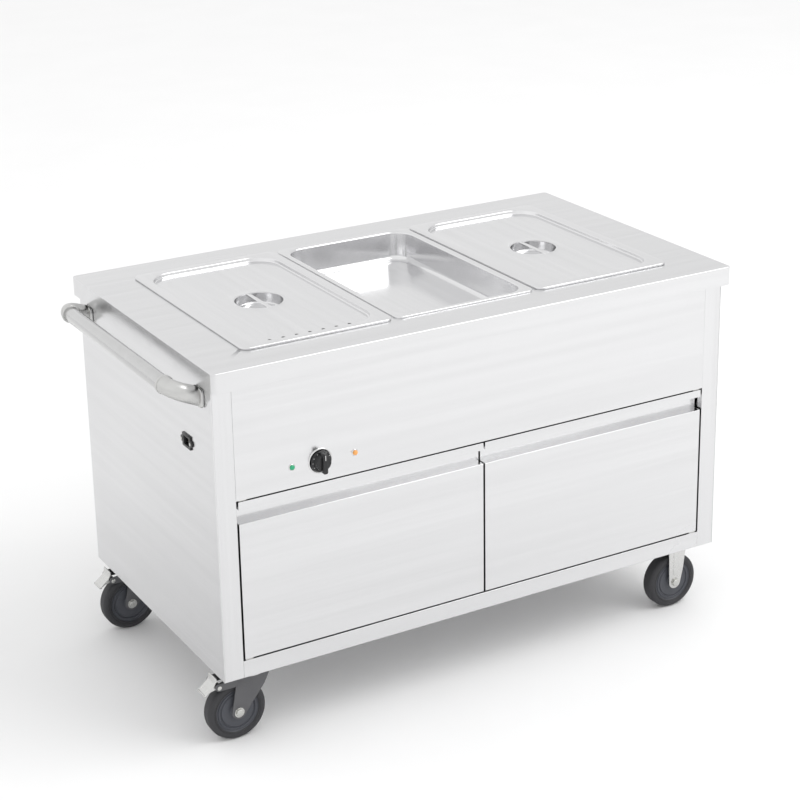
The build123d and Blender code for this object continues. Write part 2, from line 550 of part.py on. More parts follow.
with BuildPart() as lever:
    lever_y = DRAIN_Y - VALVE_SIZE / 2 - LEVER_STANDOFF
    lever_z = VALVE_HEIGHT - VALVE_SIZE / 2
    with BuildSketch(Plane(origin=(DRAIN_X, lever_y, lever_z), x_dir=(1, 0, 0), z_dir=(0, -1, 0))):
        with Locations((-LEVER_LENGTH / 2, 0)):
            SlotOverall(LEVER_LENGTH + 2 * LEVER_WIDTH, LEVER_WIDTH)
        Circle(STEM_RADIUS + RUNNING_FIT, mode=Mode.SUBTRACT)
    extrude(amount=LEVER_THICKNESS)
save(lever, "drain_lever")

with BuildPart() as drain_outlet:
    outlet_top = VALVE_HEIGHT - VALVE_SIZE
    outlet_length = outlet_top - BODY_BOTTOM + DRAIN_TAIL
    rod((DRAIN_X, DRAIN_Y, outlet_top), (0, 0, -1), DRAIN_RADIUS, outlet_length)
    rod((DRAIN_X, DRAIN_Y, BODY_BOTTOM - DRAIN_TAIL), (0, 0, 1), HOSE_RADIUS, HOSE_GRIP)
    rod((DRAIN_X, DRAIN_Y, outlet_top), (0, 0, -1), DRAIN_BORE, outlet_length, mode=Mode.SUBTRACT)
save(drain_outlet, "drain_outlet")

# ---------------------------------------------------------------- doors
for node, door_left, pivot_x in (("left_door", LEFT_DOOR, PIVOTS[0]), ("right_door", RIGHT_DOOR, PIVOTS[1])):
    with BuildPart() as door:
        block(door_left, door_left + DOOR_WIDTH, FRONT, FRONT + DOOR_THICKNESS, DOOR_BOTTOM, DOOR_TOP)
        block(door_left, door_left + DOOR_WIDTH, FRONT, FRONT + DOOR_THICKNESS - CHANNEL_BACK,
              CHANNEL_BOTTOM, CHANNEL_TOP, mode=Mode.SUBTRACT)
        fillet(door.faces().sort_by(Axis.Y)[0].edges(), DOOR_EDGE)
        for end_z, direction in ((DOOR_BOTTOM, 1), (DOOR_TOP, -1)):
            rod((pivot_x, PIVOT_Y, end_z), (0, 0, direction), PIVOT_RADIUS + RUNNING_FIT,
                PIVOT_ENGAGE + PIVOT_END_GAP,
                mode=Mode.SUBTRACT)
    save(door, node)

with BuildPart() as hinges:
    for seat_z, direction in ((RAIL_TOP, 1), (CONTROL_BOTTOM, -1)):
        low = min(seat_z, seat_z + direction * HINGE_PLATE)
        for pivot_x in PIVOTS:
            block(pivot_x - HINGE_PLATE_WIDTH / 2, pivot_x + HINGE_PLATE_WIDTH / 2, FRONT + HINGE_SETBACK,
                  FRONT + RAIL_DEPTH, low, low + HINGE_PLATE)
            rod((pivot_x, PIVOT_Y, seat_z), (0, 0, direction), PIVOT_RADIUS, DOOR_LIFT + PIVOT_ENGAGE)
save(hinges, "door_hinges")

with BuildPart() as catches:
    for sign in (-1, 1):
        centre = RIGHT_DOOR - DOOR_GAP / 2 + sign * CATCH_LENGTH
        catch_y = FRONT + DOOR_THICKNESS + CATCH_GAP
        block(centre - CATCH_LENGTH / 2, centre + CATCH_LENGTH / 2, catch_y, catch_y + CATCH_DEPTH,
              CONTROL_BOTTOM - CATCH_HEIGHT, CONTROL_BOTTOM)
save(catches, "door_catches")

# ---------------------------------------------------------------- push handle
with BuildPart() as handle_tube:
    rod((HANDLE_X, -TUBE_HALF, HANDLE_Z), (0, 1, 0), HANDLE_RADIUS, 2 * TUBE_HALF)
    rod((HANDLE_X, -TUBE_HALF, HANDLE_Z), (0, 1, 0), HANDLE_RADIUS - HANDLE_WALL, 2 * TUBE_HALF,
        mode=Mode.SUBTRACT)
save(handle_tube, "handle_tube")

# Each elbow turns off the tube and slopes down to its foot, in one inclined plane.
for node, side, foot_y in (("front_elbow", -1, FOOT_YS[0]), ("rear_elbow", 1, FOOT_YS[1])):
    with BuildPart() as elbow:
        slope = Vector(HANDLE_STANDOFF, 0, FOOT_Z - HANDLE_Z).normalized()
        along = Vector(0, side, 0)
        corner = Vector(HANDLE_X, foot_y, HANDLE_Z)
        knee = corner - along * ELBOW_BEND
        mouth = knee - along * ELBOW_SOCKET
        arc_middle = corner + (slope - along) * (ELBOW_BEND * (1 - 0.5 ** 0.5))
        arc_end = corner + slope * ELBOW_BEND
        with BuildLine() as elbow_path:
            Line(mouth, knee)
            ThreePointArc(knee, arc_middle, arc_end)
            Line(arc_end, Vector(LEFT, foot_y, FOOT_Z))
        with BuildSketch(Plane(origin=mouth, z_dir=along)):
            Circle(ELBOW_RADIUS)
        sweep(path=elbow_path.line)
        block(LEFT, LEFT + ELBOW_RADIUS, foot_y - FOOT_WIDTH, foot_y + FOOT_WIDTH,
              FOOT_Z - 2 * FOOT_HEIGHT, FOOT_Z + 2 * FOOT_HEIGHT, mode=Mode.SUBTRACT)
        with BuildSketch(Plane(origin=(LEFT, foot_y, FOOT_Z), x_dir=(0, 1, 0), z_dir=(-1, 0, 0))):
            RectangleRounded(FOOT_WIDTH, FOOT_HEIGHT, FOOT_CORNER)
        extrude(amount=FOOT_THICKNESS)
        fillet(elbow.faces().sort_by(Axis.Y)[-1 if side < 0 else 0].edges(), 1.5)
    save(elbow, node)

# ---------------------------------------------------------------- pans and lids
for node, pan_x in zip(("left_pan", "middle_pan", "right_pan"), PAN_CENTRES):
    with BuildPart() as pan:
        with BuildSketch(Plane.XY.offset(RIM_TOP)):
            with Locations((pan_x, 0)):
                RectangleRounded(PAN_WIDTH, PAN_LENGTH, PAN_RIM_CORNER)
        extrude(amount=-PAN_RIM_HEIGHT)
        fillet(pan.faces().sort_by(Axis.Z)[-1].edges(), PAN_RIM_HEIGHT / 2)
        with BuildSketch(Plane.XY.offset(RIM_TOP - PAN_SHEET)):
            with Locations((pan_x, 0)):
                RectangleRounded(PAN_WIDTH - 2 * PAN_SHEET, PAN_LENGTH - 2 * PAN_SHEET,
                                 PAN_RIM_CORNER - PAN_SHEET)
        extrude(amount=-PAN_RIM_HEIGHT, mode=Mode.SUBTRACT)
        with BuildSketch(Plane.XY.offset(RIM_TOP - PAN_SHEET / 2)):
            with Locations((pan_x, 0)):
                RectangleRounded(WELL_X, WELL_Y, PAN_CORNER)
        extrude(amount=-(PAN_DEPTH - PAN_SHEET / 2), taper=PAN_DRAFT)
        fillet(pan.faces().sort_by(Axis.Z)[0].edges(), PAN_FLOOR_FILLET)
        with BuildPart(mode=Mode.PRIVATE) as hollow:
            with BuildSketch(Plane.XY.offset(RIM_TOP)):
                with Locations((pan_x, 0)):
                    RectangleRounded(WELL_X - 2 * PAN_SHEET, WELL_Y - 2 * PAN_SHEET, PAN_CORNER - PAN_SHEET)
            extrude(amount=-(PAN_DEPTH - PAN_SHEET), taper=PAN_DRAFT)
            fillet(hollow.faces().sort_by(Axis.Z)[0].edges(), PAN_FLOOR_FILLET - PAN_SHEET)
        add(hollow.part, mode=Mode.SUBTRACT)
    save(pan, node)


def plate(width, length, corner, top, thickness, centre_x, mode=Mode.ADD):
    """A flat plate with rounded corners, given by its top face."""
    with BuildSketch(Plane.XY.offset(top)) as outline:
        with Locations((centre_x, 0)):
            RectangleRounded(width, length, corner)
    extrude(outline.sketch, amount=-thickness, mode=mode)


for node, lid_x, vented in (("left_lid", PAN_CENTRES[0], True), ("right_lid", PAN_CENTRES[-1], False)):
    recess_x = LID_X - 2 * LID_RIM
    recess_y = LID_Y - 2 * LID_RIM
    cup_z = LID_FLOOR - LID_CUP_DEPTH
    with BuildPart() as lid:
        plate(LID_X, LID_Y, PAN_RIM_CORNER + LID_FIT + LID_SHEET, LID_TOP, LID_LIP, lid_x)
        fillet(lid.faces().sort_by(Axis.Z)[-1].edges(), LID_LIP / 2)
        plate(LID_X - 2 * LID_SHEET, LID_Y - 2 * LID_SHEET, PAN_RIM_CORNER + LID_FIT,
              LID_TOP - LID_SHEET, LID_LIP,
              lid_x, mode=Mode.SUBTRACT)
        plate(recess_x, recess_y, LID_CORNER, LID_TOP - LID_SHEET / 2, LID_RECESS + LID_SHEET / 2, lid_x)
        with Locations((lid_x, 0, cup_z / 2 + LID_FLOOR / 2 - LID_SHEET)):
            Cylinder(LID_CUP_RADIUS + LID_SHEET, LID_FLOOR - cup_z)
        fillet(lid.faces().sort_by(Axis.Z)[0].edges(), LID_SHEET)
        plate(recess_x - 2 * LID_SHEET, recess_y - 2 * LID_SHEET, LID_CORNER - LID_SHEET, LID_TOP,
              LID_RECESS, lid_x,
              mode=Mode.SUBTRACT)
        with Locations((lid_x, 0, (cup_z + LID_FLOOR) / 2)):
            Cylinder(LID_CUP_RADIUS, LID_FLOOR - cup_z, mode=Mode.SUBTRACT)
        with BuildSketch(Plane.XY.offset(LID_FLOOR)):
            with Locations((lid_x, 0)):
                Circle(LID_CUP_RADIUS + LID_BEAD_WIDTH)
                Circle(LID_CUP_RADIUS, mode=Mode.SUBTRACT)
        extrude(amount=LID_BEAD_HEIGHT)
        block(lid_x - GRIP_WIDTH / 2, lid_x + GRIP_WIDTH / 2, -LID_CUP_RADIUS, LID_CUP_RADIUS,
              LID_FLOOR - GRIP_THICKNESS, LID_FLOOR)
        if vented:
            row_y = -recess_y / 2 + STEAM_HOLE_SETBACK
            with Locations((lid_x, row_y, LID_FLOOR - LID_SHEET / 2)):
                with GridLocations(STEAM_HOLE_PITCH, 0, STEAM_HOLES, 1):
                    Cylinder(STEAM_HOLE_RADIUS, 3 * LID_SHEET, mode=Mode.SUBTRACT)
    save(lid, node)

# ---------------------------------------------------------------- casters


def caster_plate(centre_x, centre_y):
    """The bolted top plate of a caster, drilled for its four bolts."""
    length, width, thickness = CASTER_PLATE
    with BuildSketch(Plane(origin=(centre_x, centre_y, PLATE_BOTTOM), z_dir=(0, 0, 1))) as outline:
        RectangleRounded(length, width, 8)
        with GridLocations(CASTER_BOLT_PITCH[0], CASTER_BOLT_PITCH[1], 2, 2):
            Circle(CASTER_BOLT[0], mode=Mode.SUBTRACT)
    extrude(outline.sketch, amount=thickness)


def fork_leg(centre_x, axle_x, leg_y, top_z):
    """One side of a fork: wide at the crown, tapered to a round end at the axle."""
    with BuildSketch(Plane(origin=(0, leg_y + FORK_WALL / 2, 0), x_dir=(1, 0, 0),
                           z_dir=(0, -1, 0))) as outline:
        with BuildLine():
            Polyline((centre_x - LEG_TOP, top_z), (centre_x + LEG_TOP, top_z),
                     (axle_x + LEG_END_RADIUS, WHEEL_RADIUS), (axle_x - LEG_END_RADIUS, WHEEL_RADIUS),
                     close=True)
        make_face()
        with Locations((axle_x, WHEEL_RADIUS)):
            Circle(LEG_END_RADIUS)
    extrude(outline.sketch, amount=FORK_WALL)


with BuildPart() as swivel_plates:
    for caster_y in CASTER_YS:
        caster_plate(SWIVEL_X, caster_y)
        rod((SWIVEL_X, caster_y, PLATE_BOTTOM), (0, 0, -1), RACE_RADIUS, PLATE_BOTTOM - CROWN_TOP - RACE_GAP)
        rod((SWIVEL_X, caster_y, PLATE_BOTTOM), (0, 0, -1), KINGPIN_RADIUS,
            PLATE_BOTTOM - CROWN_TOP + CROWN + RACE_GAP)
        rod((SWIVEL_X, caster_y, CROWN_TOP - CROWN - RACE_GAP), (0, 0, -1), KINGPIN_HEAD[0], KINGPIN_HEAD[1])
save(swivel_plates, "swivel_plates")

with BuildPart() as caster_bolts:
    for caster_x in (SWIVEL_X, FIXED_X):
        for caster_y in CASTER_YS:
            for dx in (-CASTER_BOLT_PITCH[0] / 2, CASTER_BOLT_PITCH[0] / 2):
                for dy in (-CASTER_BOLT_PITCH[1] / 2, CASTER_BOLT_PITCH[1] / 2):
                    rod((caster_x + dx, caster_y + dy, PLATE_BOTTOM), (0, 0, 1), CASTER_BOLT[0],
                        CASTER_PLATE[2])
                    rod((caster_x + dx, caster_y + dy, PLATE_BOTTOM), (0, 0, -1), CASTER_BOLT[1],
                        CASTER_BOLT[2])
save(caster_bolts, "caster_bolts")

for end, caster_y in zip(("front", "rear"), CASTER_YS):
    with BuildPart() as fork:
        ear_top = PEDAL_Z + PEDAL_EAR_RADIUS
        ear_bottom = PEDAL_Z - PEDAL_EAR_RADIUS
        for side in (-1, 1):
            leg_y = caster_y + side * LEG_Y
            fork_leg(SWIVEL_X, AXLE_X, leg_y, CROWN_TOP)
            with BuildSketch(Plane(origin=(0, leg_y + FORK_WALL / 2, 0), x_dir=(1, 0, 0), z_dir=(0, -1, 0))):
                with BuildLine():
                    Polyline((SWIVEL_X, CROWN_TOP), (SWIVEL_X - LEG_TOP, CROWN_TOP), (PEDAL_X, ear_top),
                             (PEDAL_X, ear_bottom), (SWIVEL_X, ear_bottom), close=True)
                make_face()
                with Locations((PEDAL_X, PEDAL_Z)):
                    Circle(PEDAL_EAR_RADIUS)
            extrude(amount=FORK_WALL)
        block(SWIVEL_X - LEG_TOP, SWIVEL_X + LEG_TOP, caster_y - FORK_OUTER, caster_y + FORK_OUTER,
              CROWN_TOP - CROWN, CROWN_TOP)
        rod((SWIVEL_X, caster_y, CROWN_TOP), (0, 0, -1), KINGPIN_RADIUS + RUNNING_FIT, CROWN,
            mode=Mode.SUBTRACT)
        rod((AXLE_X, caster_y - FORK_OUTER, WHEEL_RADIUS), (0, 1, 0), AXLE_RADIUS, 2 * FORK_OUTER,
            mode=Mode.SUBTRACT)
        rod((PEDAL_X, caster_y - FORK_OUTER, PEDAL_Z), (0, 1, 0), PEDAL_PIVOT_RADIUS, 2 * FORK_OUTER,
            mode=Mode.SUBTRACT)
    save(fork, f"{end}_swivel_fork")

    with BuildPart() as pedal:
        reach = PEDAL_WIDTH / 2
        with BuildSketch(Plane(origin=(0, caster_y + reach, 0), x_dir=(1, 0, 0), z_dir=(0, -1, 0))):
            with BuildLine():
                Polyline(*[(PEDAL_X + dx, PEDAL_Z + dz) for dx, dz in PEDAL_PROFILE], close=True)
            make_face()
            with Locations((PEDAL_X, PEDAL_Z)):
                Circle(PEDAL_BOSS)
                Circle(PEDAL_PIVOT_RADIUS + RUNNING_FIT, mode=Mode.SUBTRACT)
        extrude(amount=PEDAL_WIDTH)
    save(pedal, f"{end}_brake_pedal")

    with BuildPart() as pins:
        axle_length = 2 * FORK_OUTER
        rod((AXLE_X, caster_y - FORK_OUTER, WHEEL_RADIUS), (0, 1, 0), AXLE_RADIUS, axle_length)
        rod((AXLE_X, caster_y - FORK_OUTER, WHEEL_RADIUS), (0, -1, 0), AXLE_HEAD[0], AXLE_HEAD[1])
        rod((AXLE_X, caster_y + FORK_OUTER, WHEEL_RADIUS), (0, 1, 0), AXLE_HEAD[0], AXLE_HEAD[1])
        rod((PEDAL_X, caster_y - FORK_OUTER - PEDAL_PIN_END, PEDAL_Z), (0, 1, 0), PEDAL_PIVOT_RADIUS,
            axle_length + 2 * PEDAL_PIN_END)
    save(pins, f"{end}_swivel_pins")

with BuildPart() as brackets:
    for caster_y in CASTER_YS:
        caster_plate(FIXED_X, caster_y)
        for side in (-1, 1):
            fork_leg(FIXED_X, FIXED_X, caster_y + side * LEG_Y, PLATE_BOTTOM)
        rod((FIXED_X, caster_y - FORK_OUTER, WHEEL_RADIUS), (0, 1, 0), AXLE_RADIUS, 2 * FORK_OUTER,
            mode=Mode.SUBTRACT)
save(brackets, "fixed_brackets")

with BuildPart() as fixed_axles:
    for caster_y in CASTER_YS:
        rod((FIXED_X, caster_y - FORK_OUTER, WHEEL_RADIUS), (0, 1, 0), AXLE_RADIUS, 2 * FORK_OUTER)
        rod((FIXED_X, caster_y - FORK_OUTER, WHEEL_RADIUS), (0, -1, 0), AXLE_HEAD[0], AXLE_HEAD[1])
        rod((FIXED_X, caster_y + FORK_OUTER, WHEEL_RADIUS), (0, 1, 0), AXLE_HEAD[0], AXLE_HEAD[1])
save(fixed_axles, "fixed_axles")

for end, caster_y in zip(("front", "rear"), CASTER_YS):
    for place, wheel_x in (("left", AXLE_X), ("right", FIXED_X)):
        rim = WHEEL_RADIUS - TYRE_DEPTH
        with BuildPart() as hub:
            rod((wheel_x, caster_y - HUB_WIDTH / 2, WHEEL_RADIUS), (0, 1, 0), rim, HUB_WIDTH)
            for side in (-1, 1):
                face_y = caster_y + side * HUB_WIDTH / 2
                with BuildSketch(Plane(origin=(wheel_x, face_y, WHEEL_RADIUS), z_dir=(0, -side, 0))):
                    Circle(HUB_GROOVE[1])
                    Circle(HUB_GROOVE[0], mode=Mode.SUBTRACT)
                extrude(amount=HUB_GROOVE[2], mode=Mode.SUBTRACT)
                rod((wheel_x, face_y, WHEEL_RADIUS), (0, side, 0), HUB_BOSS[0], HUB_BOSS[1])
            rod((wheel_x, caster_y - WHEEL_WIDTH, WHEEL_RADIUS), (0, 1, 0), AXLE_RADIUS + RUNNING_FIT,
                2 * WHEEL_WIDTH, mode=Mode.SUBTRACT)
        save(hub, f"{end}_{place}_hub")

        with BuildPart() as tyre:
            rod((wheel_x, caster_y - WHEEL_WIDTH / 2, WHEEL_RADIUS), (0, 1, 0), WHEEL_RADIUS, WHEEL_WIDTH)
            fillet(tyre.edges().filter_by(GeomType.CIRCLE), TYRE_EDGE)
            rod((wheel_x, caster_y - WHEEL_WIDTH, WHEEL_RADIUS), (0, 1, 0), rim, 2 * WHEEL_WIDTH,
                mode=Mode.SUBTRACT)
        save(tyre, f"{end}_{place}_tyre")

print(len(NODES), "nodes")
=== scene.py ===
"""Looks of the wheeled steam table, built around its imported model. Everything is in metres."""
import json
import math
import bmesh
import bpy
import numpy as np
from mathutils import Matrix, Vector


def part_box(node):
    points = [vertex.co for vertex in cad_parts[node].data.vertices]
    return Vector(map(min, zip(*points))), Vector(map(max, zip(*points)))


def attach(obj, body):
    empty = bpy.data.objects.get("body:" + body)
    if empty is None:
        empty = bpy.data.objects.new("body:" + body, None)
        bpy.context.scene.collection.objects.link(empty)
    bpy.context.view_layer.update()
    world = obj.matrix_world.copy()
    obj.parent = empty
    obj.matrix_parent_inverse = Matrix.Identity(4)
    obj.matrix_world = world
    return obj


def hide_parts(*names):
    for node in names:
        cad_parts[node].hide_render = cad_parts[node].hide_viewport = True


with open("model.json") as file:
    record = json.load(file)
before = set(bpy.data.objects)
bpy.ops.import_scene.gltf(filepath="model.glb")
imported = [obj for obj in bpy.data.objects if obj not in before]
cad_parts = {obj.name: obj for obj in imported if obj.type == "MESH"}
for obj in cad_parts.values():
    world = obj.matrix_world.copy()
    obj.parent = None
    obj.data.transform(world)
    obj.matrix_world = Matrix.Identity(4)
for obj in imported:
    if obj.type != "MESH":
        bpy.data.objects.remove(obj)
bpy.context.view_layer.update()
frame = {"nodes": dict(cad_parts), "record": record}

MM = 0.001
UP = np.array([0.0, 0.0, 1.0])


# ---------------------------------------------------------------- places taken from the frame
def corners(node):
    """Lowest and highest corner of a node as arrays."""
    low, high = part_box(node)
    return np.array(low), np.array(high)


def middle(node):
    """Centre of a node's box."""
    low, high = corners(node)
    return (low + high) / 2


# ---------------------------------------------------------------- surfaces worked out with numpy
def rounded_rectangle(half_x, half_y, radius, steps=12):
    """A closed outline, anticlockwise: four quarter circles, each centred one radius in from its corner."""
    quarter = np.linspace(0, np.pi / 2, steps)
    parts = []
    for turn, (side_x, side_y) in enumerate(((1, 1), (-1, 1), (-1, -1), (1, -1))):
        angle = quarter + turn * np.pi / 2
        parts.append(np.stack([side_x * (half_x - radius) + radius * np.cos(angle),
                               side_y * (half_y - radius) + radius * np.sin(angle)], 1))
    return np.concatenate(parts)


def divided(outline, steps, extra):
    """A rounded rectangle's outline with extra points spaced evenly along each straight side."""
    corners_of = outline.reshape(4, steps, 2)
    start, stop = corners_of[:, -1:], np.roll(corners_of, -1, axis=0)[:, :1]
    share = np.arange(1, extra + 1)[None, :, None] / (extra + 1)
    return np.concatenate([corners_of, start + share * (stop - start)], 1).reshape(-1, 2)


def circle(radius, count=64):
    """A closed outline: points at equal angles."""
    angle = np.arange(count) * 2 * np.pi / count
    return np.stack([radius * np.cos(angle), radius * np.sin(angle)], 1)


def arc(centre, radius, start, stop, count=6):
    """Points of a circular arc in a profile plane, from one angle to another in degrees."""
    angle = np.radians(np.linspace(start, stop, count))
    return np.stack([centre[0] + radius * np.cos(angle), centre[1] + radius * np.sin(angle)], 1)


def ring_faces(rows, columns, joined=False):
    """Quads between neighbouring rings of a grid whose columns close on themselves."""
    row, column = np.meshgrid(np.arange(rows if joined else rows - 1), np.arange(columns), indexing="ij")
    below, beside = (row + 1) % rows, (column + 1) % columns
    quads = [row * columns + column, row * columns + beside,
             below * columns + beside, below * columns + column]
    return np.stack(quads, -1).reshape(-1, 4).tolist()


def raise_mesh(name, points, faces, sharp=35):
    """A mesh object from arrays, with outward normals and smooth shading broken at sharp edges."""
    mesh = bpy.data.meshes.new(name)
    mesh.from_pydata(np.asarray(points, float).tolist(), [], faces)
    work = bmesh.new()
    work.from_mesh(mesh)
    bmesh.ops.remove_doubles(work, verts=work.verts, dist=1e-6)
    bmesh.ops.recalc_face_normals(work, faces=work.faces)
    work.to_mesh(mesh)
    work.free()
    mesh.polygons.foreach_set("use_smooth", np.ones(len(mesh.polygons), bool))
    mesh.set_sharp_from_angle(angle=math.radians(sharp))
    piece = bpy.data.objects.new(name, mesh)
    bpy.context.scene.collection.objects.link(piece)
    return piece


def skin(name, rings, ends=(True, True), joined=False, sharp=35):
    """A closed surface through a stack of rings (rows x columns x 3), each end closed by a flat cap."""
    rings = np.asarray(rings, float)
    rows, columns = rings.shape[:2]
    faces = ring_faces(rows, columns, joined)
    if not joined and ends[0]:
        faces.append(list(range(columns))[::-1])
    if not joined and ends[1]:
        faces.append(list(range((rows - 1) * columns, rows * columns)))
    return raise_mesh(name, rings.reshape(-1, 3), faces, sharp)


def turned(name, origin, axis, profile, count=72, joined=False, sharp=35):
    """A surface of revolution: profile points are (radius, distance along the axis)."""
    axis = Vector(axis).normalized()
    side = axis.orthogonal().normalized()
    across = axis.cross(side)
    angle = np.arange(count) * 2 * np.pi / count
    around = np.outer(np.cos(angle), side) + np.outer(np.sin(angle), across)
    profile = np.asarray(profile, float)
    rings = (np.array(origin) + profile[:, None, 1:2] * np.array(axis) + profile[:, None, 0:1] * around[None])
    return skin(name, rings, joined=joined, sharp=sharp)


def turned_bar(radius, length, edge, steps=4):
    """Profile of a solid round bar with rounded ends, from 0 to length."""
    low = arc((radius - edge, edge), edge, -90, 0, steps)
    high = arc((radius - edge, length - edge), edge, 0, 90, steps)
    return np.concatenate([[[1e-5, 0]], low, high, [[1e-5, length]]])


def block(name, low, high, edge=1 * MM, axis="Z", corner=None, steps=4):
    """A box with rounded edges: rounded rectangles stacked along an axis, inset by a quarter circle."""
    low, high = np.array(low, float), np.array(high, float)
    order = {"X": (1, 2, 0), "Y": (2, 0, 1), "Z": (0, 1, 2)}[axis]
    size = (high - low)[list(order)]
    centre = ((high + low) / 2)[list(order)]
    corner = corner if corner is not None else edge
    rise = np.radians(np.linspace(0, 90, steps))
    inset = np.concatenate([edge * (1 - np.sin(rise)), (edge * (1 - np.sin(rise)))[::-1]])
    height = np.concatenate([edge * (1 - np.cos(rise)), size[2] - (edge * (1 - np.cos(rise)))[::-1]])
    rings = []
    for step, level in zip(inset, height):
        outline = rounded_rectangle(size[0] / 2 - step, size[1] / 2 - step,
                                    max(corner - step, 1e-5), max(steps, 4))
        ring = np.concatenate([outline, np.full((len(outline), 1), level - size[2] / 2)], 1) + centre
        place = np.empty_like(ring)
        place[:, list(order)] = ring
        rings.append(place)
    return skin(name, rings)


def drawn(name, outline, low, high, axis="Y", edge=0.8 * MM, segments=3):
    """A plate cut to an outline and carried along an axis, its sharp edges rounded by a bevel."""
    outline = np.asarray(outline, float)
    order = {"X": (1, 2, 0), "Y": (0, 2, 1), "Z": (0, 1, 2)}[axis]
    rings = []
    for level in (low, high):
        ring = np.concatenate([outline, np.full((len(outline), 1), level)], 1)
        place = np.empty_like(ring)
        place[:, list(order)] = ring
        rings.append(place)
    piece = skin(name, rings)
    if edge:
        bevel = piece.modifiers.new("edges", "BEVEL")
        bevel.width = edge
        bevel.segments = segments
        bevel.limit_method = "ANGLE"
        bevel.angle_limit = math.radians(40)
        bevel.harden_normals = False
    return piece


def swept(name, path, radii, count=40):
    """A round section carried along a path that is nowhere upright; each point has its own two radii."""
    path = np.asarray(path, float)
    tangent = np.gradient(path, axis=0)
    tangent /= np.linalg.norm(tangent, axis=1, keepdims=True)
    side = np.cross(tangent, UP)
    side /= np.linalg.norm(side, axis=1, keepdims=True)
    up = np.cross(side, tangent)
    angle = np.arange(count) * 2 * np.pi / count
    radii = np.broadcast_to(np.asarray(radii, float).reshape(len(path), -1), (len(path), 2))
    rings = (path[:, None] + radii[:, None, 0:1] * np.cos(angle)[None, :, None] * side[:, None]
             + radii[:, None, 1:2] * np.sin(angle)[None, :, None] * up[:, None])
    return skin(name, rings)


def settle(piece):
    """Applies the piece's modifiers, so that its mesh is final."""
    view = bpy.context.evaluated_depsgraph_get()
    mesh = bpy.data.meshes.new_from_object(piece.evaluated_get(view))
    piece.modifiers.clear()
    piece.data = mesh
    mesh.polygons.foreach_set("use_smooth", np.ones(len(mesh.polygons), bool))
    mesh.set_sharp_from_angle(angle=math.radians(35))
    return piece


def gathered(name, pieces):
    """One object from several, so that what is one physical piece is one mesh."""
    work = bmesh.new()
    for piece in pieces:
        settle(piece)
        work.from_mesh(piece.data)
    mesh = bpy.data.meshes.new(name)
    work.to_mesh(mesh)
    work.free()
    for piece in pieces:
        bpy.data.objects.remove(piece)
    mesh.polygons.foreach_set("use_smooth", np.ones(len(mesh.polygons), bool))
    mesh.set_sharp_from_angle(angle=math.radians(35))
    whole = bpy.data.objects.new(name, mesh)
    bpy.context.scene.collection.objects.link(whole)
    return whole


def fit(piece, body, material, slot, *nodes):
    """Puts a finish on a piece, lets it ride on its body and stand for its nodes."""
    piece.data.materials.clear()
    piece.data.materials.append(material)
    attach(piece, body)
    if nodes:
        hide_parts(*nodes)
    return piece


# ---------------------------------------------------------------- finishes
def new_finish(name):
    """An empty node material: returns the material, its node tree and its shader."""
    material = bpy.data.materials.new(name)
    material.use_nodes = True
    tree = material.node_tree
    return material, tree, tree.nodes["Principled BSDF"]


def mapped(tree, scale):
    """Object coordinates stretched by a scale along each axis."""
    place = tree.nodes.new("ShaderNodeTexCoord")
    mapping = tree.nodes.new("ShaderNodeMapping")
    mapping.inputs["Scale"].default_value = scale
    tree.links.new(place.outputs["Object"], mapping.inputs["Vector"])
    return mapping.outputs["Vector"]


def noise(tree, scale, detail=3.0, roughness=0.5, stretch=(1, 1, 1)):
    """A noise pattern on object coordinates."""
    texture = tree.nodes.new("ShaderNodeTexNoise")
    texture.inputs["Scale"].default_value = scale
    texture.inputs["Detail"].default_value = detail
    texture.inputs["Roughness"].default_value = roughness
    tree.links.new(mapped(tree, stretch), texture.inputs["Vector"])
    return texture.outputs["Fac"]


def spread(tree, value, low, high, from_low=0.3, from_high=0.7):
    """A pattern's value carried onto a range."""
    node = tree.nodes.new("ShaderNodeMapRange")
    node.inputs["From Min"].default_value = from_low
    node.inputs["From Max"].default_value = from_high
    node.inputs["To Min"].default_value = low
    node.inputs["To Max"].default_value = high
    tree.links.new(value, node.inputs["Value"])
    return node.outputs["Result"]


def tinted(tree, value, first, second):
    """A colour between two, chosen by a value from 0 to 1."""
    node = tree.nodes.new("ShaderNodeMix")
    node.data_type = "RGBA"
    node.inputs["A"].default_value = (*first, 1)
    node.inputs["B"].default_value = (*second, 1)
    tree.links.new(value, node.inputs["Factor"])
    return node.outputs["Result"]


def bumped(tree, shader, *heights):
    """Bumps chained one on another; each is (pattern, strength, distance in metres)."""
    last = None
    for value, strength, distance in heights:
        bump = tree.nodes.new("ShaderNodeBump")
        bump.inputs["Strength"].default_value = strength
        bump.inputs["Distance"].default_value = distance
        tree.links.new(value, bump.inputs["Height"])
        if last is not None:
            tree.links.new(last, bump.inputs["Normal"])
        last = bump.outputs["Normal"]
    tree.links.new(last, shader.inputs["Normal"])


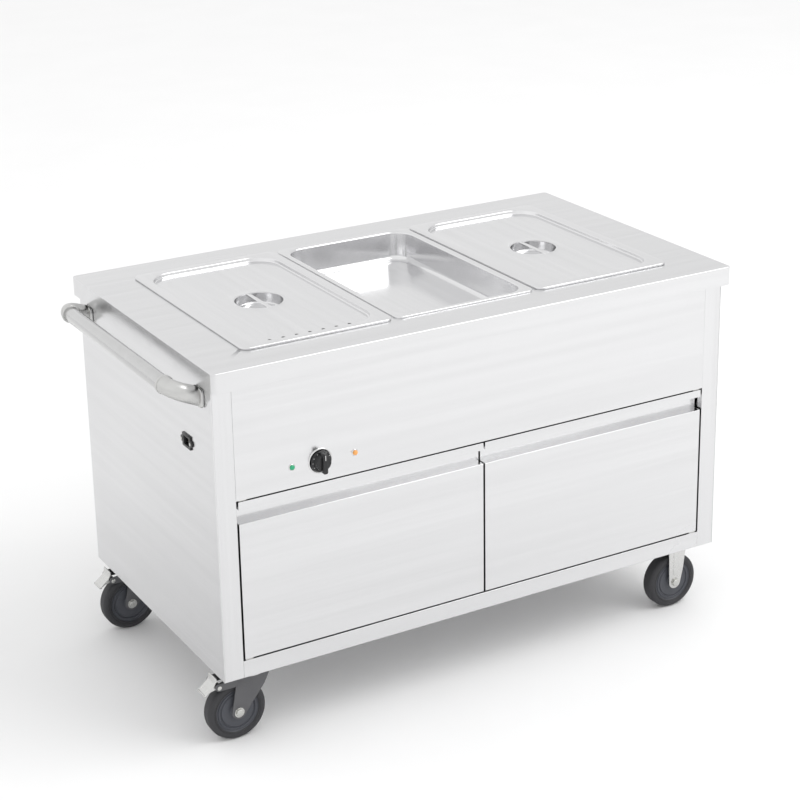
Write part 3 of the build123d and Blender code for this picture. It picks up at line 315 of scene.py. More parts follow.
def brushed(name, grain, tone=0.70, low=0.16, high=0.28, wave=0.25):
    """Brushed stainless sheet: fine lines along one axis, wiped smears and a slight waviness."""
    material, tree, shader = new_finish(name)
    fine = {"X": (6, 900, 900), "Y": (900, 6, 900), "Z": (900, 900, 6)}[grain]
    broad = {"X": (1.2, 60, 60), "Y": (60, 1.2, 60), "Z": (60, 60, 1.2)}[grain]
    lines = noise(tree, 1.0, 2.0, 0.6, fine)
    streaks = noise(tree, 1.0, 3.0, 0.55, broad)
    smears = noise(tree, 2.6, 4.0, 0.6)
    shade = tree.nodes.new("ShaderNodeMath")
    shade.operation = "MULTIPLY_ADD"
    shade.inputs[1].default_value = 0.5
    tree.links.new(lines, shade.inputs[0])
    half = spread(tree, streaks, 0.0, 0.5)
    tree.links.new(half, shade.inputs[2])
    light = tone * 1.06
    dark = tone * 0.95
    tree.links.new(tinted(tree, shade.outputs[0], (dark, dark, dark * 1.01), (light, light, light * 1.01)),
                   shader.inputs["Base Color"])
    shader.inputs["Metallic"].default_value = 1.0
    tree.links.new(spread(tree, smears, low, high), shader.inputs["Roughness"])
    wavy = noise(tree, 1.7, 1.0, 0.4)
    bumped(tree, shader, (wavy, wave, 4 * MM), (lines, 0.05, 0.05 * MM))
    return material


SATIN_X = brushed("satin_steel_long", "X")
SATIN_Y = brushed("satin_steel_cross", "Y")
SATIN_Z = brushed("satin_steel_upright", "Z")
BRIGHT = brushed("bright_pressed_steel", "Y", 0.72, 0.12, 0.20, 0.08)


def plain_metal(name, colour, low, high, scale=40, bump=0.15):
    """A metal with mottled gloss and a slight unevenness."""
    material, tree, shader = new_finish(name)
    mottle = noise(tree, scale, 4.0, 0.6)
    darker = tuple(c * 0.86 for c in colour)
    tree.links.new(tinted(tree, mottle, darker, colour), shader.inputs["Base Color"])
    shader.inputs["Metallic"].default_value = 1.0
    tree.links.new(spread(tree, mottle, low, high), shader.inputs["Roughness"])
    bumped(tree, shader, (noise(tree, scale * 12, 3.0), bump, 0.1 * MM))
    return material


def moulded(name, colour, low, high, grain_scale=900, bump=0.25, coat=0.0):
    """A moulded plastic or rubber: slightly mottled colour and a fine moulded grain."""
    material, tree, shader = new_finish(name)
    mottle = noise(tree, 30, 3.0)
    lighter = tuple(min(c * 1.35 + 0.004, 1) for c in colour)
    tree.links.new(tinted(tree, mottle, colour, lighter), shader.inputs["Base Color"])
    tree.links.new(spread(tree, mottle, low, high), shader.inputs["Roughness"])
    shader.inputs["Coat Weight"].default_value = coat
    bumped(tree, shader, (noise(tree, grain_scale, 3.0), bump, 0.06 * MM))
    return material


TUBE = plain_metal("handle_tube_steel", (0.62, 0.62, 0.62), 0.10, 0.20, 30, 0.05)
CAST = plain_metal("satin_cast_metal", (0.62, 0.62, 0.61), 0.26, 0.40, 60, 0.3)
ZINC = plain_metal("zinc_plated_steel", (0.66, 0.66, 0.65), 0.18, 0.34, 55)
FASTENER = plain_metal("zinc_fastener", (0.60, 0.60, 0.58), 0.16, 0.30, 120)
TRIM = plain_metal("bright_trim", (0.75, 0.75, 0.75), 0.08, 0.16, 120, 0.04)
BRASS = plain_metal("machined_brass", (0.70, 0.50, 0.20), 0.16, 0.32, 90)
COPPER = plain_metal("drawn_copper", (0.80, 0.42, 0.25), 0.18, 0.32, 90)
ALLOY = plain_metal("heater_sheath", (0.34, 0.33, 0.32), 0.35, 0.55, 60, 0.3)
GREY_FORK = moulded("grey_stamped_steel", (0.07, 0.07, 0.075), 0.34, 0.46, 500, 0.15, 0.2)
RUBBER = moulded("tyre_rubber", (0.022, 0.022, 0.025), 0.52, 0.68, 700, 0.35)
HUB = moulded("hub_moulding", (0.045, 0.048, 0.058), 0.38, 0.5, 700, 0.2)
BLACK = moulded("black_moulding", (0.006, 0.006, 0.007), 0.24, 0.36, 900, 0.12)
DARK = moulded("dark_moulding", (0.02, 0.02, 0.02), 0.45, 0.6, 700, 0.3)
LEVER = moulded("red_dipped_grip", (0.42, 0.02, 0.015), 0.3, 0.42, 300, 0.2, 0.2)
WOOL = moulded("mineral_wool", (0.42, 0.36, 0.2), 0.9, 1.0, 160, 1.0)
GREEN = moulded("green_lens", (0.0, 0.30, 0.13), 0.08, 0.14, 300, 0.03, 0.6)
AMBER = moulded("amber_lens", (0.75, 0.33, 0.08), 0.08, 0.14, 300, 0.03, 0.6)
MARK = moulded("pale_print", (0.55, 0.55, 0.54), 0.45, 0.55, 500, 0.05)

FINISHES = {
    "satin_steel": SATIN_X, "bright_steel": BRIGHT, "handle_steel": TUBE, "cast_metal": CAST,
    "mineral_wool": WOOL, "element_alloy": ALLOY, "dark_moulding": DARK, "black_moulding": BLACK,
    "copper": COPPER, "green_lens": GREEN, "amber_lens": AMBER, "bright_trim": TRIM, "brass": BRASS,
    "zinc_fastener": FASTENER, "lever_coating": LEVER, "zinc_plate": ZINC, "grey_fork": GREY_FORK,
    "tyre_rubber": RUBBER, "hub_moulding": HUB,
}

SLOT_OF = {part["node"]: part["material_slot"] for part in frame["record"]["subparts"]}
for node, piece in frame["nodes"].items():
    finish = FINISHES[SLOT_OF[node]]
    if node in ("left_side_panel", "right_side_panel"):
        finish = SATIN_Y
    if node in ("left_post", "right_post"):
        finish = SATIN_Z
    for material_slot in piece.material_slots:
        material_slot.material = finish

# ---------------------------------------------------------------- pressed pans and lids
def pressed(name, centre, half, profile, thickness, hub=None):
    """A pressed sheet: each profile row is (inset from the outer edge, height, corner radius), carried
    round a rounded rectangle; hub rows are (radius, height) circles that close the middle. The sheet is
    then given its thickness."""
    steps = 16
    rings = []
    for inset, height, corner in profile:
        outline = divided(rounded_rectangle(half[0] - inset, half[1] - inset, corner, steps), steps, 20)
        rings.append(np.concatenate([outline + centre[:2], np.full((len(outline), 1), height)], 1))
    heading = np.arctan2(rings[-1][:, 1] - centre[1], rings[-1][:, 0] - centre[0])
    for radius, height in hub or ():
        rings.append(np.stack([centre[0] + radius * np.cos(heading), centre[1] + radius * np.sin(heading),
                               np.full(len(heading), height)], 1))
    rings = np.array(rings)
    rows, columns = rings.shape[:2]
    faces = ring_faces(rows, columns)
    faces.append(list(range((rows - 1) * columns, rows * columns)))
    mesh = bpy.data.meshes.new(name)
    mesh.from_pydata(rings.reshape(-1, 3).tolist(), [], faces)
    mesh.polygons.foreach_set("use_smooth", np.ones(len(mesh.polygons), bool))
    piece = bpy.data.objects.new(name, mesh)
    bpy.context.scene.collection.objects.link(piece)
    shell = piece.modifiers.new("sheet", "SOLIDIFY")
    shell.thickness = thickness
    shell.offset = -1
    return settle(piece)


SHEET = 1.2 * MM
PAN_RIM, PAN_DRAFT = 12 * MM, math.tan(math.radians(4))
PAN_ROLL, PAN_SHOULDER, PAN_BEND = 1.7 * MM, 4 * MM, 12 * MM   # radii of the rolled rim and the folds
for node in ("left_pan", "middle_pan", "right_pan"):
    low, high = corners(node)
    centre, half, top = (low + high) / 2, (high - low)[:2] / 2, high[2]
    roll = arc((PAN_ROLL, top - PAN_ROLL), PAN_ROLL, 180, 90, 7)
    shoulder = arc((PAN_RIM - 2.2 * MM, top - PAN_SHOULDER), PAN_SHOULDER, 90, 4, 8)
    floor_level = low[2] + SHEET
    foot_inset = shoulder[-1, 0] + (shoulder[-1, 1] - floor_level) * PAN_DRAFT
    bend = arc((foot_inset + 11 * MM, floor_level + PAN_BEND), PAN_BEND, 184, 270, 12)
    line = np.concatenate([[[0, top - 3.4 * MM]], roll, shoulder, bend,
                           [[foot_inset + 40 * MM, floor_level + 0.3 * MM]]])
    blend = np.clip((line[:, 0] - 3 * MM) / (PAN_RIM - 3 * MM), 0, 1)
    corner = ((16 * MM - np.minimum(line[:, 0], 3 * MM)) * (1 - blend)
              + np.maximum(51 * MM - 0.6 * line[:, 0], 14 * MM) * blend)
    profile = np.concatenate([line, corner[:, None]], 1)
    fit(pressed(node + "_pressing", centre, half, profile, SHEET,
                [(60 * MM, floor_level), (8 * MM, floor_level)]),
        node, BRIGHT, "bright_steel", node)

LID_RIM, RECESS, CUP, CUP_DEPTH, BEAD = 20 * MM, 9 * MM, 50 * MM, 22 * MM, 1.4 * MM
LID_EDGE, LID_FOLD = 2 * MM, 3 * MM            # radii of the turned-down edge and of the recess folds
VENTS, VENT_RADIUS, VENT_PITCH, VENT_SETBACK = 7, 3.6 * MM, 29 * MM, 22 * MM
for node, vented in (("left_lid", True), ("right_lid", False)):
    low, high = corners(node)
    centre, half, top = (low + high) / 2, (high - low)[:2] / 2, high[2]
    well = top - RECESS
    edge = arc((LID_EDGE, top - LID_EDGE), LID_EDGE, 180, 90, 7)
    brow = arc((LID_RIM - 2.2 * MM, top - LID_FOLD), LID_FOLD, 90, 12, 7)
    foot = arc((LID_RIM + 4.2 * MM, well + LID_FOLD), LID_FOLD, 192, 270, 7)
    line = np.concatenate([[[0.2 * MM, top - 4.0 * MM]], edge, brow, foot])
    blend = np.clip((line[:, 0] - 3 * MM) / (LID_RIM - 6 * MM), 0, 1)
    corner = ((17.8 * MM - np.minimum(line[:, 0], 3 * MM)) * (1 - blend)
              + (57 * MM - (line[:, 0] - LID_RIM)) * blend)
    profile = np.concatenate([line, corner[:, None]], 1)
    swell = np.linspace(0, np.pi, 9)
    bead = np.stack([CUP + 7 * MM - 7 * MM * swell / np.pi,
                     well + BEAD * (1 - np.cos(2 * swell)) / 2 * (swell < 2.3)
                     + BEAD * 0.5 * (swell >= 2.3)], 1)
    lip = arc((CUP - 1 * MM, well - 1.5 * MM), 2 * MM, 60, 0, 5) + np.array([-0.2 * MM, 0])
    base = arc((CUP - 6 * MM, well - CUP_DEPTH + 5 * MM), 5 * MM, 0, -90, 8)
    hub = [(CUP + 30 * MM, well), *bead[:6].tolist(), *lip.tolist(), *base.tolist(),
           (12 * MM, well - CUP_DEPTH)]
    panel = pressed(node + "_pressing", centre, half, profile, SHEET, hub)
    if vented:
        row_y = -(half[1] - LID_RIM) + VENT_SETBACK + centre[1]
        punches = []
        for step in np.arange(VENTS) - VENTS // 2:
            punches.append(turned(f"punch_{int(step)}",
                                  (centre[0] + step * VENT_PITCH, row_y, well - 6 * MM), (0, 0, 1),
                                  [[1e-6, 0], [VENT_RADIUS, 0], [VENT_RADIUS, 12 * MM], [1e-6, 12 * MM]], 24))
        punch = gathered("vent_punches", punches)
        cut = panel.modifiers.new("vents", "BOOLEAN")
        cut.operation = "DIFFERENCE"
        cut.solver = "EXACT"
        cut.object = punch
        settle(panel)
        bpy.data.objects.remove(punch)
    bar = block(node + "_bar", (centre[0] - 5 * MM, centre[1] - CUP - 1 * MM, well - 2.4 * MM),
                (centre[0] + 5 * MM, centre[1] + CUP + 1 * MM, well + 0.8 * MM), 1.2 * MM, "Y")
    fit(gathered(node + "_whole", [panel, bar]), node, BRIGHT, "bright_steel", node)

# ---------------------------------------------------------------- push handle
tube_low, tube_high = corners("handle_tube")
tube_radius = (tube_high[0] - tube_low[0]) / 2
tube_axis = middle("handle_tube")
fit(turned("push_tube", (tube_axis[0], tube_low[1] - 10 * MM, tube_axis[2]), (0, 1, 0),
           turned_bar(tube_radius, tube_high[1] - tube_low[1] + 20 * MM, 1 * MM), 64),
    "cabinet", TUBE, "handle_steel", "handle_tube")

FOOT_HALF_WIDTH, FOOT_HALF_HEIGHT, FOOT_SHEET = 22 * MM, 19 * MM, 6 * MM
for node, side in (("front_elbow", -1), ("rear_elbow", 1)):
    low, high = corners(node)
    wall_x = high[0]
    foot_y = low[1] + FOOT_HALF_WIDTH if side < 0 else high[1] - FOOT_HALF_WIDTH
    foot_z = low[2] + FOOT_HALF_HEIGHT
    along = np.array([0, side, 0.0])
    mouth_y = high[1] if side < 0 else low[1]
    corner = np.array([tube_axis[0], foot_y, tube_axis[2]])
    slope = np.array([wall_x - tube_axis[0], 0, foot_z - tube_axis[2]])
    reach = np.linalg.norm(slope)
    slope /= reach
    bend = 32 * MM
    turn = np.linspace(0, np.pi / 2, 18)[:, None]
    knee = corner - along * bend
    curve = knee + bend * np.sin(turn) * along + bend * (1 - np.cos(turn)) * slope
    start = np.array([tube_axis[0], mouth_y, tube_axis[2]])
    lead = start + np.linspace(0, 1, 6)[:-1, None] * (knee - start)
    tail = curve[-1] + np.linspace(0, 1, 8)[1:, None] * (corner + slope * reach - curve[-1])
    path = np.concatenate([lead, curve, tail])
    travel = np.linspace(0, 1, len(path))
    swell = tube_radius + 2.4 * MM - 1.2 * MM * np.sin(np.pi * travel)
    radii = np.stack([swell * (1 - 0.18 * travel), swell * (1 + 0.03 * travel)], 1)
    arm = swept(node + "_arm", path, radii, 48)
    collar = turned(node + "_collar", start, along, [[1e-5, -1.5 * MM], [tube_radius + 1.6 * MM, -1.5 * MM],
                    [tube_radius + 2.8 * MM, 0], [tube_radius + 2.8 * MM, 4 * MM],
                    [tube_radius + 2.0 * MM, 5.5 * MM],
                    [1e-5, 5.5 * MM]], 64)
    foot = block(node + "_foot", (wall_x - FOOT_SHEET, foot_y - FOOT_HALF_WIDTH, foot_z - FOOT_HALF_HEIGHT),
                 (wall_x - 0.1 * MM, foot_y + FOOT_HALF_WIDTH, foot_z + FOOT_HALF_HEIGHT),
                 2 * MM, "X", 10 * MM)
    fit(gathered(node + "_casting", [arm, collar, foot]), "cabinet", CAST, "cast_metal", node)


# ---------------------------------------------------------------- casters
def support(circles, count=96):
    """Outline of the convex shape round several circles: in each direction, the farthest circle's point."""
    circles = np.asarray(circles, float)
    angle = np.arange(count) * 2 * np.pi / count
    heading = np.stack([np.cos(angle), np.sin(angle)], 1)
    farthest = np.argmax(heading @ circles[:, :2].T + circles[:, 2], axis=1)
    return circles[farthest, :2] + circles[farthest, 2:3] * heading


def hex_bolt(name, origin, side, head=9 * MM):
    """A washer and a hexagon head on an axle end, facing along Y."""
    x, y, z = origin
    washer = turned(name + "_washer", (x, y, z), (0, side, 0),
                    [[1e-5, 0], [head + 1.5 * MM, 0], [head + 1.5 * MM, 1.2 * MM], [1e-5, 1.2 * MM]], 48)
    hexagon = circle(head * 0.92, 6) + np.array([x, z])
    near, far = sorted((y + side * 1.0 * MM, y + side * 5 * MM))
    return [washer, drawn(name + "_head", hexagon, near, far, "Y", 0.8 * MM)]


WHEEL_RADIUS = 62.5 * MM
AXLE_RADIUS, PIN_RADIUS = 5 * MM, 3 * MM
BRACKET_HALF, SHANK_HALF = 22.5 * MM, 22 * MM  # fixed bracket and its axle, from the wheel's middle
TRAIL = 33 * MM                                # axle to the swivel's upright axis
PEDAL_REACH, PEDAL_RISE = 40 * MM, 3 * MM      # pedal pin from the axle and above the wheel's top
for end in ("front", "rear"):
    for place in ("left", "right"):
        tyre_node, hub_node = f"{end}_{place}_tyre", f"{end}_{place}_hub"
        low, high = corners(tyre_node)
        centre, half_width = (low + high) / 2, (high[1] - low[1]) / 2
        rim = 46.5 * MM
        crown = arc((WHEEL_RADIUS - 9 * MM, half_width - 9 * MM), 9 * MM, 90, 8, 8)
        tread = np.array([[WHEEL_RADIUS - 0.1 * MM, half_width * 0.45], [WHEEL_RADIUS, 0]])
        wall = np.array([[rim - 0.5 * MM, half_width - 1.5 * MM], [rim + 0.8 * MM, half_width - 0.2 * MM],
                         [rim + 2.4 * MM, half_width - 0.1 * MM], [rim + 3.2 * MM, half_width - 1.0 * MM],
                         [rim + 4.2 * MM, half_width - 0.1 * MM]])
        upper = np.concatenate([wall, crown, tread])
        lower = upper[::-1][1:] * [1, -1]
        fit(turned(f"{end}_{place}_tread", centre, (0, 1, 0), np.concatenate([upper, lower]), 96,
                   joined=True),
            f"{end}_{place}_wheel", RUBBER, "tyre_rubber", tyre_node)
        face = half_width - 2 * MM
        half_hub = np.array([[5.2 * MM, face + 2 * MM], [12 * MM, face + 2 * MM], [14 * MM, face + 1 * MM],
                             [16 * MM, face - 0.6 * MM], [34 * MM, face - 0.6 * MM],
                             [35.5 * MM, face - 2.6 * MM], [37.5 * MM, face - 2.6 * MM],
                             [39 * MM, face - 0.2 * MM], [41.5 * MM, face - 0.2 * MM],
                             [42.5 * MM, face - 1.8 * MM], [44.5 * MM, face - 1.8 * MM],
                             [46.2 * MM, face - 0.2 * MM]])
        fit(turned(f"{end}_{place}_wheel_hub", centre, (0, 1, 0),
                   np.concatenate([half_hub, half_hub[::-1] * [1, -1]]), 96, joined=True, sharp=28),
            f"{end}_{place}_wheel", HUB, "hub_moulding", hub_node)

    # the swivel fork of the left wheel, with its pedal arm and pins
    fork_low, fork_high = corners(f"{end}_swivel_fork")
    axle = middle(f"{end}_left_tyre")
    pedal_low, pedal_high = corners(f"{end}_brake_pedal")
    top = fork_high[2]
    swivel_x = axle[0] + TRAIL
    pedal_x, pedal_z = axle[0] - PEDAL_REACH, 2 * WHEEL_RADIUS + PEDAL_RISE
    leg = support([(swivel_x - 28 * MM, top - 7 * MM, 7 * MM), (swivel_x + 29 * MM, top - 6 * MM, 6 * MM),
                   (axle[0], axle[2], 15 * MM), (swivel_x + 20 * MM, top - 24 * MM, 6 * MM)])
    arm = support([(pedal_x, pedal_z, 8 * MM), (swivel_x - 22 * MM, pedal_z + 4 * MM, 8 * MM),
                   (swivel_x - 10 * MM, pedal_z, 8 * MM)], 64)
    sheets = []
    for side, outer in ((-1, fork_low[1]), (1, fork_high[1])):
        near, far = sorted((outer, outer - side * 3.5 * MM))
        sheets.append(drawn("leg", leg, near, far, "Y", 1.0 * MM))
        sheets.append(drawn("arm", arm, near + 0.2 * MM, far - 0.2 * MM, "Y", 0.8 * MM))
    sheets.append(block("crown", (swivel_x - 33 * MM, fork_low[1], top - 4 * MM),
                        (swivel_x + 33 * MM, fork_high[1], top), 1.2 * MM, "Z", 6 * MM))
    fit(gathered(f"{end}_fork_pressing", sheets), f"{end}_swivel", GREY_FORK, "grey_fork",
        f"{end}_swivel_fork")

    bolts = []
    for side, outer in ((-1, fork_low[1]), (1, fork_high[1])):
        bolts += hex_bolt("axle", (axle[0], outer, axle[2]), side)
        bolts.append(turned("pivot", (pedal_x, outer, pedal_z), (0, side, 0),
                            [[1e-5, -1 * MM], [4.6 * MM, -1 * MM], [4.6 * MM, 1.2 * MM],
                             [3.4 * MM, 2 * MM], [1e-5, 2 * MM]], 32))
    bolts.append(turned("axle_shank", (axle[0], fork_low[1], axle[2]), (0, 1, 0),
                        turned_bar(AXLE_RADIUS, fork_high[1] - fork_low[1], 0.4 * MM), 32))
    bolts.append(turned("pivot_shank", (pedal_x, fork_low[1], pedal_z), (0, 1, 0),
                        turned_bar(PIN_RADIUS, fork_high[1] - fork_low[1], 0.4 * MM), 32))
    fit(gathered(f"{end}_swivel_bolts", bolts), f"{end}_swivel", FASTENER, "zinc_fastener",
        f"{end}_swivel_pins")

    # the pedal: a folded plate with an upright above its pin and a tread that points away from the wheel
    mid_y = (pedal_low[1] + pedal_high[1]) / 2
    tread_line = np.array([[5, -1], [2.5, 6], [-2, 13], [-3, 19.5], [-5.5, 19.5],
                           [-6.5, 10], [-10, 3.5], [-19, -3.5], [-27, -10.5], [-30.5, -14.5],
                           [-27, -14], [-17, -8], [-7, -5.5], [0, -6], [4, -4.5]]) * MM
    folded = drawn("pedal_fold", tread_line[::-1] + np.array([pedal_x, pedal_z]), pedal_low[1] + 0.2 * MM,
                   pedal_high[1] - 0.2 * MM, "Y", 0.9 * MM)
    grip = block("pedal_tread", (pedal_x - 31 * MM, mid_y - 17 * MM, pedal_z - 15.2 * MM),
                 (pedal_x - 25 * MM, mid_y + 17 * MM, pedal_z - 11.5 * MM), 1.3 * MM, "Y")
    fit(gathered(f"{end}_pedal_plate", [folded, grip]), f"{end}_pedal", ZINC, "zinc_plate",
        f"{end}_brake_pedal")

# the fixed brackets at the right: a plate and two straight legs, each with a raised rib
plate_high = corners("fixed_brackets")[1]
for_bracket, for_axle = [], []
for end in ("front", "rear"):
    axle = middle(f"{end}_right_tyre")
    plate_half = np.array([52, 42]) * MM
    for_bracket.append(block("plate",
                             (axle[0] - plate_half[0], axle[1] - plate_half[1], plate_high[2] - 4 * MM),
                             (axle[0] + plate_half[0], axle[1] + plate_half[1], plate_high[2]),
                             0.8 * MM, "Z", 8 * MM))
    for side in (-1, 1):
        outer = axle[1] + side * BRACKET_HALF
        near, far = sorted((outer, outer - side * 3.3 * MM))
        leg = support([(axle[0] - 14 * MM, plate_high[2] - 6 * MM, 4 * MM),
                       (axle[0] + 25 * MM, plate_high[2] - 6 * MM, 4 * MM),
                       (axle[0], axle[2], 15 * MM), (axle[0] + 18 * MM, axle[2] + 30 * MM, 4 * MM)])
        for_bracket.append(drawn("leg", leg, near, far, "Y", 1.2 * MM))
        rib = support([(axle[0] + 1 * MM, plate_high[2] - 14 * MM, 6 * MM),
                       (axle[0], axle[2] + 22 * MM, 5 * MM)], 48)
        near, far = sorted((outer + side * 1.0 * MM, outer - side * 1.0 * MM))
        for_bracket.append(drawn("rib", rib, near, far, "Y", 1.0 * MM))
        for_axle += hex_bolt("axle", (axle[0], outer, axle[2]), side)
    for_axle.append(turned("shank", (axle[0], axle[1] - SHANK_HALF, axle[2]), (0, 1, 0),
                           turned_bar(AXLE_RADIUS, 2 * SHANK_HALF, 0.4 * MM), 32))
fit(gathered("fixed_bracket_pressings", for_bracket), "cabinet", ZINC, "zinc_plate", "fixed_brackets")
fit(gathered("fixed_axle_bolts", for_axle), "cabinet", FASTENER, "zinc_fastener", "fixed_axles")

# ---------------------------------------------------------------- controls
low, high = corners("knob")
knob_axis = np.array([(low[0] + high[0]) / 2, low[1], (low[2] + high[2]) / 2])
knob_front, knob_back = low[1], middle("knob_bezel")[1] - 1.8 * MM
body = turned("knob_body", (knob_axis[0], knob_back, knob_axis[2]), (0, -1, 0),
              [[1e-5, 0], [21.6 * MM, 0], [22 * MM, 0.6 * MM], [21.6 * MM, 3.2 * MM], [20.6 * MM, 4.2 * MM],
               [17.4 * MM, 4.6 * MM], [16.6 * MM, 6 * MM], [15.6 * MM, 14 * MM],
               [14.4 * MM, 15.2 * MM], [1e-5, 15.4 * MM]],
              96, sharp=50)
bar = block("knob_bar", (knob_axis[0] - 5.2 * MM, knob_front, knob_axis[2] - 20.5 * MM),
            (knob_axis[0] + 5.2 * MM, knob_back - 3 * MM, knob_axis[2] + 20.5 * MM), 1.6 * MM, "Y", 3.5 * MM)
shaft = turned("knob_shaft", (knob_axis[0], knob_back - 1 * MM, knob_axis[2]), (0, 1, 0),
               turned_bar(2.9 * MM, 12 * MM, 0.3 * MM), 24)
fit(gathered("knob_moulding", [body, bar, shaft]), "knob", BLACK, "black_moulding", "knob")
marks = [block("pointer", (knob_axis[0] - 0.7 * MM, knob_front - 0.25 * MM, knob_axis[2] + 8 * MM),
               (knob_axis[0] + 0.7 * MM, knob_front + 0.4 * MM, knob_axis[2] + 18.5 * MM), 0.1 * MM, "Y")]
angle = np.radians(np.arange(-120, 121, 30))
for turn in angle[np.abs(angle) > 0.3]:
    spot = knob_axis + np.array([np.sin(turn) * 19.1 * MM, 0, np.cos(turn) * 19.1 * MM])
    marks.append(turned("tick", (spot[0], knob_back - 4.2 * MM, spot[2]), (0, -1, 0),
                        [[1e-5, 0], [0.8 * MM, 0], [0.8 * MM, 0.35 * MM], [1e-5, 0.35 * MM]], 12))
fit(gathered("knob_marks", marks), "knob", MARK, "black_moulding")

low, high = corners("knob_bezel")
fit(turned("knob_ring", (knob_axis[0], high[1], knob_axis[2]), (0, -1, 0),
           [[5.4 * MM, 0], [26 * MM, 0], [26 * MM, 0.8 * MM], [25.2 * MM, 1.7 * MM],
            [24 * MM, 2 * MM], [23.2 * MM, 1.5 * MM],
            [5.4 * MM, 1.5 * MM]], 96, joined=True), "cabinet", TRIM, "bright_trim", "knob_bezel")
for node, finish, slot_name in (("heating_lamp_lens", GREEN, "green_lens"),
                                ("power_lamp_lens", AMBER, "amber_lens")):
    low, high = corners(node)
    spot = np.array([(low[0] + high[0]) / 2, high[1], (low[2] + high[2]) / 2])
    rise = np.linspace(0, np.pi / 2, 9)
    cap = np.stack([5.4 * MM * np.cos(rise), 1.6 * MM + 4.2 * MM * np.sin(rise)], 1)
    fit(turned(node + "_cap", spot, (0, -1, 0),
               np.concatenate([[[1e-5, 0.1 * MM], [5.4 * MM, 0.1 * MM]], cap[:-1],
                               [[1e-5, 5.8 * MM]]]), 40),
        "cabinet", finish, slot_name, node)
    fit(turned(node + "_ring", spot, (0, -1, 0),
               [[5.5 * MM, 0], [7 * MM, 0], [7 * MM, 0.9 * MM], [6.4 * MM, 1.6 * MM], [5.5 * MM, 1.6 * MM]],
               48, joined=True), "cabinet", TRIM, "bright_trim")

# ---------------------------------------------------------------- eased edges of the folded sheet and panels
BODY_OF = {node: body for body, nodes in frame["record"]["behaviour"]["bodies"].items() for node in nodes}
EASED = {
    "worktop": 0.5, "control_panel": 1.6, "left_post": 2.0, "right_post": 2.0,
    "front_rail": 0.6, "rear_rail": 0.6,
    "left_door": 1.2, "right_door": 1.2, "left_side_panel": 1.0, "right_side_panel": 1.0, "back_panel": 1.0,
    "power_inlet": 0.8, "drain_valve": 0.6,
}
FLAT_AREA = 0.004      # square metres: faces from this size on stay flat


def eased(node, width):
    """A copy of a node with rounded edges: flat faces are merged, then edges over 40 degrees bevelled."""
    source = frame["nodes"][node]
    mesh = source.data.copy()
    mesh.transform(source.matrix_world)
    work = bmesh.new()
    work.from_mesh(mesh)
    bmesh.ops.remove_doubles(work, verts=work.verts, dist=1e-5)
    bmesh.ops.dissolve_limit(work, angle_limit=math.radians(1), verts=work.verts, edges=work.edges)
    work.to_mesh(mesh)
    work.free()
    piece = bpy.data.objects.new(node + "_eased", mesh)
    bpy.context.scene.collection.objects.link(piece)
    bevel = piece.modifiers.new("edges", "BEVEL")
    bevel.width = width
    bevel.segments = 2
    bevel.limit_method = "ANGLE"
    bevel.angle_limit = math.radians(40)
    settle(piece)
    area = np.empty(len(piece.data.polygons))
    piece.data.polygons.foreach_get("area", area)
    piece.data.polygons.foreach_set("use_smooth", area < FLAT_AREA)
    return piece


for node, width in EASED.items():
    finish = frame["nodes"][node].material_slots[0].material
    fit(eased(node, width * MM), BODY_OF.get(node, "cabinet"), finish, SLOT_OF[node], node)

# ---------------------------------------------------------------- floor, light and camera
FLOOR_SIZE = 60.0
DOME_LEVEL, DOME_LEAN = 1.02, 0.12        # the soft dome's brightness, and how much brighter its left side is

bpy.ops.mesh.primitive_plane_add(size=FLOOR_SIZE, location=(0, 0, 0))
floor = bpy.context.object
floor.name = "floor"
paper, tree, shader = new_finish("floor_paper")
tree.links.new(tinted(tree, noise(tree, 3.0), (0.87, 0.87, 0.87), (0.90, 0.90, 0.90)),
               shader.inputs["Base Color"])
shader.inputs["Roughness"].default_value = 0.75
shader.inputs["Specular IOR Level"].default_value = 0.1
floor.data.materials.append(paper)


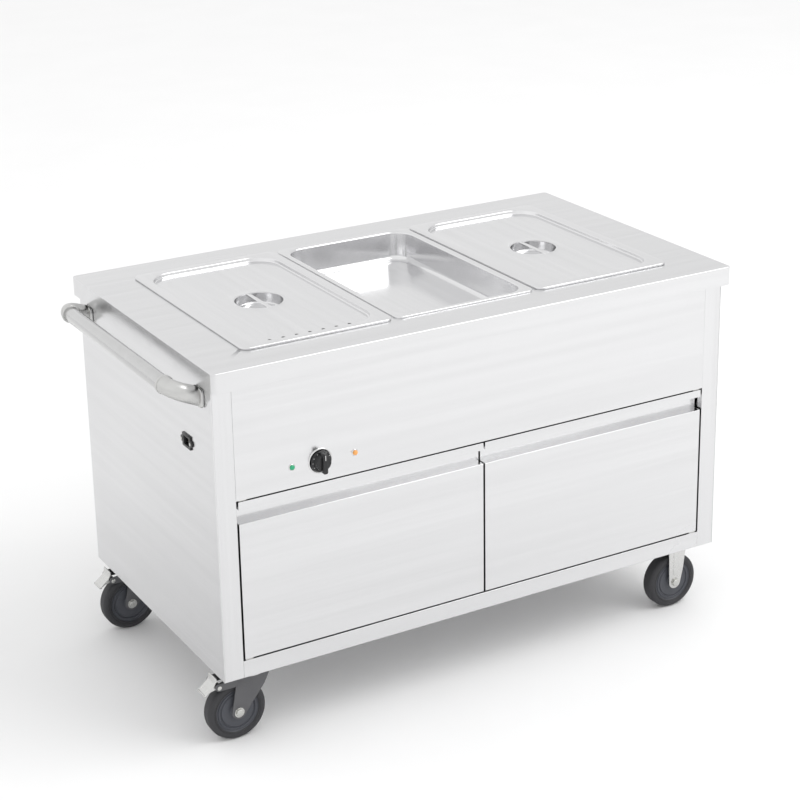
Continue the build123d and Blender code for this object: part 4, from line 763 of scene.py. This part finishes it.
def soft_dome(name, level, lean):
    """A white dome: its strength is level, plus lean times how far a direction points left."""
    world = bpy.data.worlds.new(name)
    world.use_nodes = True
    sky = world.node_tree
    direction = sky.nodes.new("ShaderNodeTexCoord")
    split = sky.nodes.new("ShaderNodeSeparateXYZ")
    strength = sky.nodes.new("ShaderNodeMath")
    strength.operation = "MULTIPLY_ADD"
    strength.inputs[1].default_value = -lean
    strength.inputs[2].default_value = level
    sky.links.new(direction.outputs["Generated"], split.inputs["Vector"])
    sky.links.new(split.outputs["X"], strength.inputs[0])
    sky.links.new(strength.outputs[0], sky.nodes["Background"].inputs["Strength"])
    sky.nodes["Background"].inputs["Color"].default_value = (1, 1, 1, 1)
    return world


bpy.context.scene.world = soft_dome("studio", DOME_LEVEL, DOME_LEAN)


def softbox(name, place, target, width, height, power):
    """A rectangular soft light that faces a target point."""
    lamp = bpy.data.lights.new(name, "AREA")
    lamp.shape = "RECTANGLE"
    lamp.size = width
    lamp.size_y = height
    lamp.energy = power
    holder = bpy.data.objects.new(name, lamp)
    holder.location = place
    holder.rotation_euler = (Vector(target) - Vector(place)).to_track_quat("-Z", "Y").to_euler()
    bpy.context.scene.collection.objects.link(holder)
    return holder


softbox("key_overhead", (3.5, -3.0, 5.5), (0.0, 0.0, 0.4), 5.0, 5.0, 190)

YAW, PITCH, ROLL = 29.65, 18.60, -1.02          # degrees
EYE_LEFT, EYE_FRONT, EYE_UP = 1.370, 3.104, 1.274   # metres from the worktop's left, front and top faces
FOCAL, SENSOR, RISE = 89.25, 36.0, -0.125
top_low, top_high = corners("worktop")
EYE = (top_low[0] - EYE_LEFT, top_low[1] - EYE_FRONT, top_high[2] + EYE_UP)
camera_data = bpy.data.cameras.new("view")
camera = bpy.data.objects.new("view", camera_data)
camera_data.lens = FOCAL
camera_data.sensor_width = SENSOR
camera_data.shift_y = RISE
camera_data.clip_end = 60
camera.matrix_world = (Matrix.Translation(EYE) @ Matrix.Rotation(math.radians(-YAW), 4, "Z")
                       @ Matrix.Rotation(math.radians(90 - PITCH), 4, "X")
                       @ Matrix.Rotation(math.radians(ROLL), 4, "Z"))
bpy.context.scene.collection.objects.link(camera)
bpy.context.scene.camera = camera
bpy.context.scene.view_settings.view_transform = "Standard"

bpy.context.view_layer.update()
